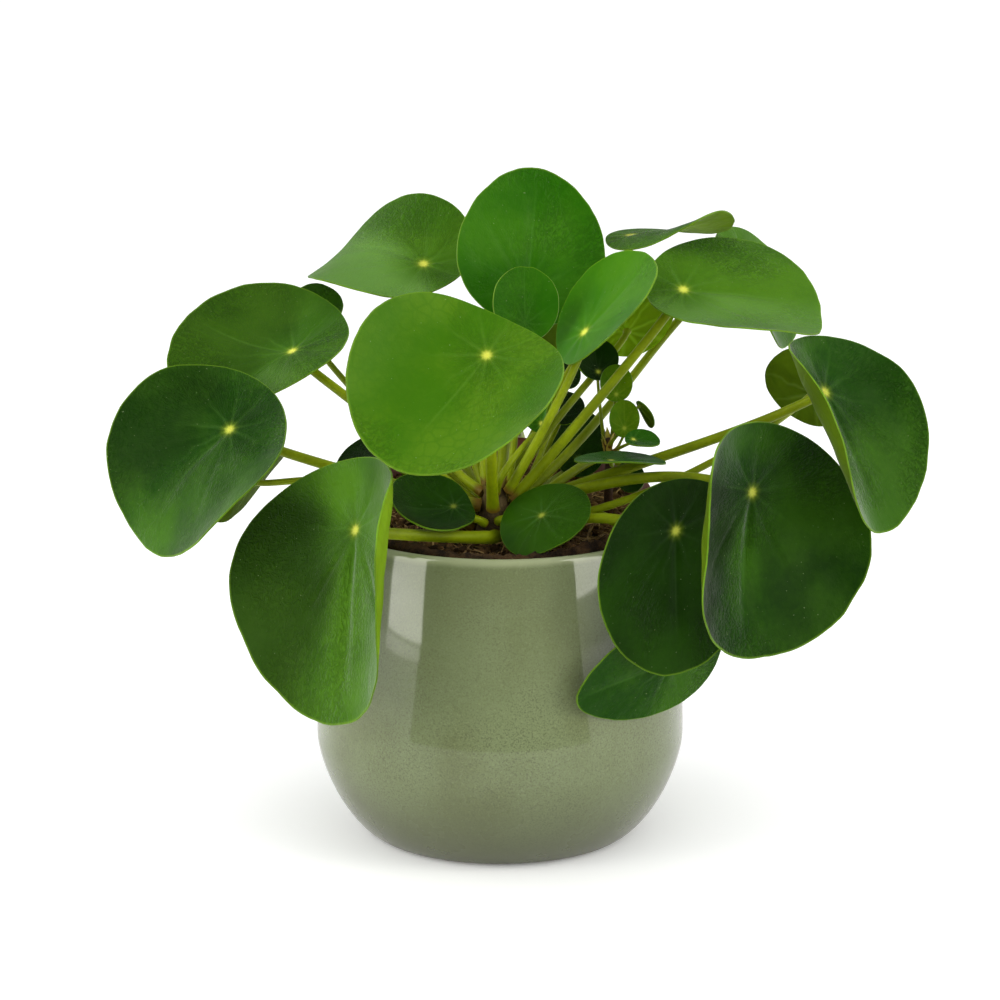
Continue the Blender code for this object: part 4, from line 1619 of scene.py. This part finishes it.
    def route(self, count: int) -> tuple[list[Vector], list[float]]:
        """The stalk's middle line, from the stem into the blade's thickness.

        Args:
            count: How many points it has.

        Returns:
            The points and the radius at each.
        """
        stem = self.stem()
        height, azimuth, rise = self.stalk
        thick, thick_grow, thin, thin_grow = stem.stalk_radius
        start_radius = thick + thick_grow * self.size[0]
        end_radius = thin + thin_grow * self.size[0]
        flat = Vector((cos(radians(azimuth)), sin(radians(azimuth)), 0.0))
        first = flat * cos(radians(rise)) + Vector((0.0, 0.0, sin(radians(rise))))
        out = stem.radius_at(height) + stem.stalk_gap + start_radius * abs(sin(radians(rise)))
        start = Vector((*stem.axis, height)) + flat * out
        end = Vector(self.hub) - self.face() * self.stalk_depth()
        span = end - start
        last = (self.face() * self.LAST_FACE + span.normalized() * self.LAST_SPAN).normalized()
        if self.over:
            lift, drop = (Vector(point) for point in self.over)
        else:
            lift = start + first * span.length * self.sweep[0]
            drop = end - last * span.length * self.sweep[1]
        points, radii = [], []
        for i in range(count):
            s = i / (count - 1)
            t = 1.0 - s
            points.append(start * t ** 3 + lift * 3 * t * t * s + drop * 3 * t * s * s + end * s ** 3)
            foot = self.FOOT_FLARE[0] * start_radius * exp(-s * span.length / self.FOOT_FLARE[1])
            neck = self.NECK_FLARE[0] * end_radius * exp(-t * span.length / self.NECK_FLARE[1])
            radii.append(start_radius + (end_radius - start_radius) * s + foot + neck)
        return points, radii

    def build_stalk(self, look: Material) -> Piece:
        """The stalk as a closed tube.

        Args:
            look: Its material.

        Returns:
            The stalk.
        """
        points, radii = self.route(self.ROUTE_POINTS[self.grade()])
        piece = tube(self.name + "_stalk", points, radii, self.ROUNDING[self.grade()])
        face = np.array(self.face())
        places = positions(piece.data) / MM
        way = places - np.array(self.hub)
        above = np.maximum(way @ face + self.stalk_depth(), 0.0) * (np.linalg.norm(way, axis=1) < self.TUCKED)
        set_positions(piece.data, (places - above[:, None] * face) * MM)
        smooth(piece, 60.0)
        finish_piece(piece, self.name, self.slot(), [look])
        return piece


YOUNG_LEAVES = {"leaf_top_young", "leaf_top_bright", "leaf_top_upright", "leaf_right_inner",
                "leaf_inner_folded", "leaf_front_top"}

# Where a leaf has tints, they paint shade on the side of its blade that turns from the lamps or lies in
# another leaf's shadow, and paint sheen where the depth is negative.
MAIN_LEAVES = (
    Leaf("leaf_left_outer", (-105, -25, 169), (80, 87), 0.28, (-119, 42, -32), (38, -20, -29, -31),
         (138, 195, 16), (0.4, 0.08), taper=-0.05, pucker=0.6, crease=0.8,
         tints_and_painted_light=((-70, 52, 0.5), (30, 45, -0.08))),
    Leaf("leaf_left_outer_behind", (-99, 5, 142), (38, 40), 0.4, (152, 48, 0), (10, 5, -15, -15),
         (128, 178, 44), (0.5, 0.08)),
    Leaf("leaf_left_upper", (-83, 14, 193), (74, 75), 0.33, (-133, 24, -79), (-40, -5, 15, -10),
         (134, 170, 53), (0.35, 0.08), taper=0.25, tone=Tone.MID, tints_and_painted_light=((0, 65, 0.5), (95, 30, -0.25))),
    Leaf("leaf_left_upper_behind", (-81, 52, 196), (30, 24), 0.3, (-90, 62, 143), (10, 5, -50, -50),
         (137, 150, 28), (0.45, 0.12)),
    Leaf("leaf_back_left_top", (-31, 40, 224), (76, 64), 0.24, (-89, 34, -128), (55, -20, -15, -30),
         (139, 115, 50), (0.2, 0.2), taper=-0.05, tone=Tone.MID, tints_and_painted_light=((60, 75, -0.55),)),
    Leaf("leaf_front_top", (-5, -60, 205), (80, 90), 0.22, (-102, 46, -26), (-15, 5, -45, -55),
         (138, -95, 62), taper=-0.12, tone=Tone.LIGHT, crease=0.3),
    Leaf("leaf_front_left_low", (-55, -66, 139), (102, 118), 0.27, (-142, 69, 16), (5, -20, -60, -25),
         (127, -90, 9), (0.15, 0.16), taper=-0.2, tone=Tone.MID, crease=1.6, pucker=0.6,
         tints_and_painted_light=((-68, 50, 0.75), (125, 35, 0.3))),
    Leaf("leaf_top_upright", (11, 25, 215), (66, 61), 0.21, (-75, 67, 169), (0, 10, -5, -15),
         (143, 75, 68), (0.45, 0.3), taper=-0.15, tone=Tone.FRESH),
    Leaf("leaf_top_young", (10, -2, 207), (30, 27), 0.25, (-80, 68, 178), (-10, 5, -25, -25),
         (146, 10, 80), (0.35, 0.25), tone=Tone.FRESH, hub_glow=0.0),
    Leaf("leaf_top_bright", (33, -5, 204), (54, 52), 0.27, (-152, 48, 163), (-5, 15, -20, -20),
         (144, -30, 58), (0.4, 0.08), taper=0.13, tone=Tone.YOUNG, crease=0.4),
    Leaf("leaf_right_inner", (51, 26, 199), (40, 38), 0.3, (95, 68, 185), (10, 5, -20, -20),
         (141, 35, 60), (0.35, 0.12), tone=Tone.YOUNG),
    Leaf("leaf_right_upper", (72, 0, 220), (72, 74), 0.21, (-78, 35, 84), (12, 5, 13, -45),
         (140, -5, 50), (0.35, 0.08), taper=0.15, tone=Tone.MID, crease=1.0, tints_and_painted_light=((-80, 75, -0.4),)),
    Leaf("leaf_back_right_top", (53, 46, 235), (54, 47), 0.19, (183, 9, 156), (-13, -4, 9, 27),
         (138, 65, 40), (0.5, 0.2), taper=0.15, twist=-34, tone=Tone.MID),
    Leaf("leaf_back_right", (100, 56.5, 223), (56, 54), 0.28, (-35, 56, 16), (16, 8, 6, -36),
         (136, 30, 33), (0.45, 0.35), taper=0.1, tone=Tone.MID),
    Leaf("leaf_right_outer", (126, -27, 184.5), (83, 80), 0.28, (-39, 56, -2), (7, -9, -43, -65),
         (135, -4, 34), (0.17, 0.35), taper=-0.13, crease=0.7, tints_and_painted_light=((50, 55, 0.2),)),
    Leaf("leaf_right_outer_behind", (127, 30, 173), (38, 30), 0.42, (80, 84, 130), (10, 5, -25, -25),
         (131, -33, 10), (0.47, 0.2)),
    Leaf("leaf_right_front", (96, -55, 151), (91, 114), 0.3, (-50, 87, -13), (-20, -10, -30, -60),
         (136, -44, 75), over=((46, -26, 153), (74, -39, 157)), tone=Tone.SHADE, crease=1.3, pucker=0.5,
         tints_and_painted_light=((-60, 38, 0.75), (75, 65, 0.3))),
    Leaf("leaf_front_right_low", (67, -60, 137), (77, 74), 0.26, (-57, 94, 2), (-10, 25, -10, -5),
         (127, -38, 29), (0.5, 0.2), taper=-0.07, tone=Tone.DEEP),
    Leaf("leaf_front_right_lowest", (66.2, -51.3, 83), (70, 44), 0.36, (-54, 105, -79), (0, 0, 0, 0),
         (129, -2, 37), over=((40, -28, 148), (69, -48, 132)), taper=-0.25),
    Leaf("leaf_small_front", (16, -42, 139), (38, 38), 0.5, (-132, 34, -5), (25, 10, 20, 5),
         (133, -80, 37), (0.25, 0.25), taper=-0.1, tone=Tone.STAR, hub_glow=0.5),
    Leaf("leaf_small_left", (-18, -35, 141), (35, 36), 0.23, (-90, 34, -74), (-45, 30, -35, -15),
         (132, -120, 35), (0.35, 0.35), tone=Tone.DEEP, hub_glow=0.15),
    Leaf("leaf_back_left_low", (-46, 22, 151), (36, 34), 0.3, (-152, 27, 0), (15, 10, -25, -25),
         (129, 150, 31), (0.25, 0.35), tone=Tone.DEEP),
    Leaf("leaf_inner_back", (32, 30, 145), (30, 25), 0.25, (-80, 62, 180), (5, 0, -20, -20),
         (134, 61, 5), (0.6, 0.2), tone=Tone.DEEP),
    Leaf("leaf_inner_small", (25, 22, 165), (17, 15), 0.25, (-80, 45, 150), (5, 0, -20, -20),
         (129, 70, 18), (0.6, 0.24), tone=Tone.DEEP),
    Leaf("leaf_inner_top", (27, 30, 178), (17, 15), 0.25, (-60, 45, 180), (5, 0, -20, -20),
         (130, 45, 52), (0.6, 0.1), tone=Tone.DEEP),
    Leaf("leaf_inner_folded", (16, -8, 168), (26, 22), 0.15, (-140, 72, 185), (5, 0, -75, -75),
         (144, -85, 51), (0.5, 0.08), tone=Tone.YOUNG),
    Leaf("leaf_rear_left", (-36, 86, 120), (58, 58), 0.28, (115, 60, 5), (15, 10, -15, -15),
         (133, 125, 41), over=((-19, 27, 166), (-36, 66, 154))),
    Leaf("leaf_rear_middle", (12, 94, 112), (60, 58), 0.28, (85, 62, -5), (15, 10, -15, -15),
         (135, 94, 25), over=((6, 33, 172), (10, 83, 152))),
    Leaf("leaf_rear_far_left", (-80, 50, 106), (54, 54), 0.28, (162, 62, 0), (15, 10, -15, -15),
         (131, 91, 45), over=((-25, 29, 152), (-61, 36, 163))),
    Leaf("leaf_rear_right", (58, 74, 104), (56, 56), 0.28, (45, 62, 0), (15, 10, -15, -15),
         (131, 22, 14), over=((53, 20, 166), (59, 64, 142))),
    Leaf("leaf_rear_top", (20, 62, 206), (52, 50), 0.25, (80, 42, 0), (20, 10, -15, -15),
         (145, 125, 65), (0.25, 0.12), tone=Tone.FRESH),
    Leaf("leaf_rear_upper", (-30, 62, 178), (54, 54), 0.27, (112, 48, 0), (20, 10, -15, -15),
         (142, 146, 23), (0.42, 0.34)),
)

PUP_LEAVES = (
    Leaf("pup_leaf_front", (49, -8, 166), (15, 12), 0.25, (-90, 75, 180), (5, 0, -20, -20),
         (158, -80, 50), (0.5, 0.16), tone=Tone.PUP, hub_glow=0.3),
    Leaf("pup_leaf_top", (46, 0, 178), (15, 13), 0.2, (-90, 75, 180), (5, 0, -20, -20),
         (156, 70, 73), (0.4, 0.25), tone=Tone.PUP, hub_glow=0.3),
    Leaf("pup_leaf_right", (52, -24, 165), (14, 12), 0.25, (-80, 22, 85), (5, 0, -20, -20),
         (156, -35, 30), (0.4, 0.08), tone=Tone.FRESH),
    Leaf("pup_leaf_right_upper", (56, 4, 173), (13, 9), 0.15, (30, 60, 0), (5, 0, -20, -20),
         (161, 35, 75), (0.45, 0.35), tone=Tone.FRESH),
    Leaf("pup_leaf_level", (43, -31, 158.4), (36, 32), 0.4, (90, 5, -90), (5, 0, -10, -10),
         (153, -75, -12), (0.25, 0.12), tone=Tone.FRESH),
    Leaf("pup_leaf_low", (51, -9, 149), (13, 12), 0.3, (-80, 55, 0), (5, 0, -20, -20),
         (151, -25, 16), (0.45, 0.16), tone=Tone.DEEP),
    Leaf("pup_leaf_tall", (39, 6, 186), (18, 18), 0.2, (-75, 60, 180), (5, 0, -25, -25),
         (157, 130, 78), (0.25, 0.12), tone=Tone.DEEP),
    Leaf("pup_leaf_bud", (51, 2, 164), (8, 7), 0.2, (-60, 50, 150), (5, 0, -20, -20),
         (154, 10, 65), (0.5, 0.12), tone=Tone.YOUNG),
)


@dataclass
class Stipules:
    """The small pointed scales round a growing tip.

    Attributes:
        stem: The stem they sit on.
        heights: The lowest and the highest foot.
        count: How many there are.
        length: Their length.
        look: Their finish.
    """

    stem: Stem
    heights: Pair
    count: int
    length: float
    look: EarthFinish

    FOOT = 0.2  # the radius of a scale's foot and of its tip, in shares of its length
    TIP = 0.015
    FLAT = 0.35  # how thick it is for its width
    BEND = 0.3  # how far its tip bends, in shares of its length
    BULGE = 0.8  # how much wider its middle is
    TURN = 137.5  # the angle from one scale to the next
    LEAN = 14.0  # the lowest scale's angle
    LEAN_LESS = 10.0  # how much less the highest one leans
    SHRINK = 0.25  # how much smaller it is
    SET_IN = 0.8  # where a scale's foot stands, in shares of the stem's radius

    def build(self, effects: Effects) -> Piece:
        """Models one scale and sets copies of it round the stem as one piece.

        Args:
            effects: The shared node groups.

        Returns:
            The scales.
        """
        deselect()
        size = self.length * MM
        bpy.ops.mesh.primitive_cone_add(vertices=10, radius1=self.FOOT * size, radius2=self.TIP * size,
                                        depth=size, location=(0.0, 0.0, size / 2))
        scale = bpy.context.object
        settle(scale)
        edit_all(scale)
        bpy.ops.mesh.subdivide(number_cuts=3)
        bpy.ops.object.mode_set(mode="OBJECT")
        shape = positions(scale.data) / MM
        rise = shape[:, 2] / self.length
        shape[:, 0] = shape[:, 0] * self.FLAT + self.length * self.BEND * rise ** 2
        shape[:, 1] *= 1.0 + self.BULGE * np.sin(pi * np.clip(rise, 0.0, 1.0))
        faces = [list(face.vertices) for face in scale.data.polygons]
        bpy.data.objects.remove(scale)
        points, rows = [], []
        for i in range(self.count):
            share = i / max(1, self.count - 1)
            height = self.heights[0] + (self.heights[1] - self.heights[0]) * share
            lean = Matrix.Rotation(radians(self.LEAN - self.LEAN_LESS * share), 3, "Y")
            turn = Matrix.Rotation(radians(self.TURN * i), 3, "Z") @ lean
            foot = np.array([self.stem.radius_at(height) * self.SET_IN, 0.0, 0.0])
            placed = shape * (1.0 - self.SHRINK * share) + foot
            placed = placed @ np.array(turn).T + np.array([*self.stem.axis, height])
            points.append(placed)
            rows += [[index + i * len(shape) for index in face] for face in faces]
        name = self.stem.name + "_scales"
        mesh = bpy.data.meshes.new(name)
        mesh.from_pydata((np.concatenate(points) * MM).tolist(), [], rows)
        set_values(mesh, "tint", np.repeat(np.linspace(0.2, 0.9, self.count), len(shape)))
        piece = new_piece(name, mesh)
        edit_all(piece)
        bpy.ops.mesh.normals_make_consistent(inside=False)
        bpy.ops.object.mode_set(mode="OBJECT")
        smooth(piece, 60.0)
        finish_piece(piece, self.stem.name, "stem_bark", [self.look.material(effects)])
        return piece


@dataclass
class Plant:
    """Both stems and all the leaves."""

    effects: Effects
    discs: tuple[Disc, ...] = field(init=False)

    def __post_init__(self) -> None:
        """Models the discs that tiny, small and large blades are copied from."""
        self.discs = (Disc(48, 9), Disc(72, 14), Disc(128, 28))

    def build(self) -> None:
        """Builds the stems, their scales and the leaves."""
        bark = EarthFinish("stem_bark", (0.035, 0.022, 0.008), (0.2, 0.14, 0.05), 500.0, 0.5, False, 0.7)
        pup_bark = EarthFinish("pup_bark", (0.02, 0.008, 0.003), (0.12, 0.05, 0.015), 600.0, 0.3, False, 0.6)
        MAIN_STEM.build(self.effects, bark)
        PUP_STEM.build(self.effects, pup_bark)
        scales = EarthFinish("crown_scale", (0.12, 0.08, 0.02), (0.3, 0.22, 0.05), 600.0, 0.2, True, 0.6)
        pup_scales = EarthFinish("pup_scale", (0.2, 0.12, 0.02), (0.5, 0.42, 0.06), 600.0, 0.1, True, 0.5)
        Stipules(MAIN_STEM, (141.0, 147.0), 9, 8.0, scales).build(self.effects)
        Stipules(PUP_STEM, (154.0, 161.0), 7, 6.0, pup_scales).build(self.effects)
        skins = {tone: (tone.value.upper(self.effects), tone.value.underside(self.effects),
                        tone.value.margin(self.effects)) for tone in Tone}
        stalk = StalkFinish("leaf_stalk", (0.15, 0.2, 0.001), (0.24, 0.31, 0.002), (0.7, 0.85, 0.05),
                            (0.16, 0.09, 0.012), 0.04)
        pup_stalk = StalkFinish("pup_stalk", (0.13, 0.18, 0.003), (0.23, 0.28, 0.006), (0.6, 0.75, 0.08),
                                (0.12, 0.05, 0.01), 0.15)
        main_look, pup_look = stalk.material(self.effects), pup_stalk.material(self.effects)
        for leaf in MAIN_LEAVES + PUP_LEAVES:
            leaf.build_blade(self.discs[leaf.grade()], skins[leaf.tone])
            leaf.build_stalk(pup_look if leaf.stem() is PUP_STEM else main_look)


# ---------------------------------------------------------------------------------------------------------
# Studio


@dataclass(frozen=True)
class Softbox:
    """A rectangular lamp that looks at the pot.

    Attributes:
        name: The lamp's name.
        place: Its middle, in metres.
        aim: The point it looks at, in metres.
        size: Its width and height, in metres.
        glow: How bright its face is.
        tint: Its colour.
        sheen_only: True where it shows in the glossy surfaces alone and lights nothing else.
    """

    name: str
    place: Point
    aim: Point
    size: Pair
    glow: float
    tint: Colour = (1.0, 0.985, 0.9)
    sheen_only: bool = False

    def build(self) -> Piece:
        """Makes the lamp.

        Returns:
            The lamp.
        """
        lamp = bpy.data.lights.new(self.name, "AREA")
        lamp.shape = "RECTANGLE"
        lamp.size, lamp.size_y = self.size
        lamp.energy = self.glow * pi * self.size[0] * self.size[1]
        lamp.color = self.tint
        made = new_piece(self.name, lamp)
        made.location = self.place
        made.rotation_euler = (Vector(self.aim) - Vector(self.place)).to_track_quat("-Z", "Y").to_euler()
        made.visible_camera = False
        made.visible_diffuse = not self.sheen_only
        return made


@dataclass
class Studio:
    """The plain pale table, the soft lamps and the camera.

    The table's front edge is an arc just before the pot, and its sides run outwards from the arc's ends.
    """

    camera_place: Point = (0.0, -1.2, 0.4176)
    camera_down: float = 13.25
    camera_lens: float = 111.3
    camera_sensor: float = 36.0
    floor_size: float = 40.0
    floor_front: float = 0.275
    floor_turn: float = 50.0
    floor_glow: float = 0.13
    floor_white: Colour = (0.955, 0.96, 0.98)
    floor_mirror: float = 0.85
    world_light: float = 1.04
    mirror_light: float = 0.3

    def lamps(self) -> tuple[Softbox, ...]:
        """The lamps: a tall one on each side, a wide one overhead, and four that only a gloss mirrors.

        Returns:
            The lamps.
        """
        sheens = {
            "left_sheen": ((-0.6, -0.338, 0.43), (0.0, 0.0, 0.43), (0.297, 0.84), 1.5),
            "right_sheen": ((0.875, -0.467, 0.7), (0.0, 0.0, 0.7), (0.46, 1.2), 2.0),
            "back_left_sheen": ((-0.95, 0.55, 0.55), (0.0, 0.0, 0.55), (1.3, 1.1), 0.7),
            "back_right_sheen": ((0.95, 0.55, 0.55), (0.0, 0.0, 0.55), (1.3, 1.1), 0.7),
        }
        return (
            Softbox("left_softbox", (-0.87, -0.49, 0.62), (0.0, 0.0, 0.62), (0.43, 1.22), 4.4),
            Softbox("right_softbox", (0.88, -0.47, 0.7), (0.0, 0.0, 0.7), (0.46, 1.2), 3.6),
            *(Softbox(name, *row, sheen_only=True) for name, row in sheens.items()),
            Softbox("top_softbox", (0.0, 0.15, 1.6), (0.0, 0.0, 0.1), (1.6, 1.4), 0.12),
        )

    def build_floor(self) -> None:
        """The table top, pale and matt, with a little glow of its own."""
        front = arc((0.0, 0.0), self.floor_front, -90.0 - self.floor_turn, -90.0 + self.floor_turn, 16)
        size, reach = self.floor_size, self.floor_size / self.floor_front
        right, left = ((x * reach, y * reach) for x, y in (front[-1], front[0]))
        outline = [*front, right, (size, size), (-size, size), left]
        mesh = bpy.data.meshes.new("floor")
        mesh.from_pydata([(x, y, 0.0) for x, y in outline], [], [tuple(range(len(outline)))])
        floor = new_piece("floor", mesh)
        finish = Finish("floor_paint", Roughness=0.9, Specular_IOR_Level=0.05,
                        Emission_Color=(1.0, 1.0, 1.0, 1.0))
        mirrored = finish.node("LightPath").outputs["Is Glossy Ray"]
        finish.colour(finish.mix(mirrored, self.floor_white, (self.floor_mirror,) * 3))
        finish.feed(finish.shader.inputs["Emission Strength"],
                    finish.math("MULTIPLY_ADD", mirrored, -self.floor_glow, self.floor_glow))
        floor.data.materials.append(finish.material)

    def build_world(self) -> None:
        """An even pale light from all round, white behind the plant and dim where a gloss mirrors it."""
        world = bpy.data.worlds.new("studio")
        world.use_nodes = True
        sheet = Sheet(world.node_tree)
        back = world.node_tree.nodes["Background"]
        back.inputs["Color"].default_value = (1.0, 1.0, 1.0, 1.0)
        mirrored = sheet.node("LightPath").outputs["Is Glossy Ray"]
        change = self.mirror_light - self.world_light
        sheet.feed(back.inputs["Strength"], sheet.math("MULTIPLY_ADD", mirrored, change, self.world_light))
        bpy.context.scene.world = world

    def build_camera(self) -> None:
        """The camera, looking slightly down at the plant."""
        lens = bpy.data.cameras.new("camera")
        lens.lens = self.camera_lens
        lens.sensor_width = self.camera_sensor
        camera = new_piece("camera", lens)
        camera.location = self.camera_place
        camera.rotation_euler = (radians(90.0 - self.camera_down), 0.0, 0.0)
        bpy.context.scene.camera = camera

    def build(self) -> None:
        """Sets up the floor, lamps, world and camera."""
        self.build_camera()
        self.build_floor()
        self.build_world()
        for lamp in self.lamps():
            lamp.build()
        view = bpy.context.scene.view_settings
        view.view_transform = "Standard"
        view.look = "None"


def main() -> None:
    """Builds the studio, the pots, the peat and the plant."""
    logging.basicConfig(level=logging.INFO, format="%(message)s")
    Studio().build()
    effects = Effects()
    OuterPot().build(effects)
    nursery = NurseryPot()
    nursery.build(effects)
    peat = Peat(nursery)
    peat.build_block(effects)
    peat.build_spill(effects)
    peat.build_crumbs(effects)
    peat.build_fibres(effects)
    Plant(effects).build()


if __name__ == "__main__":
    main()
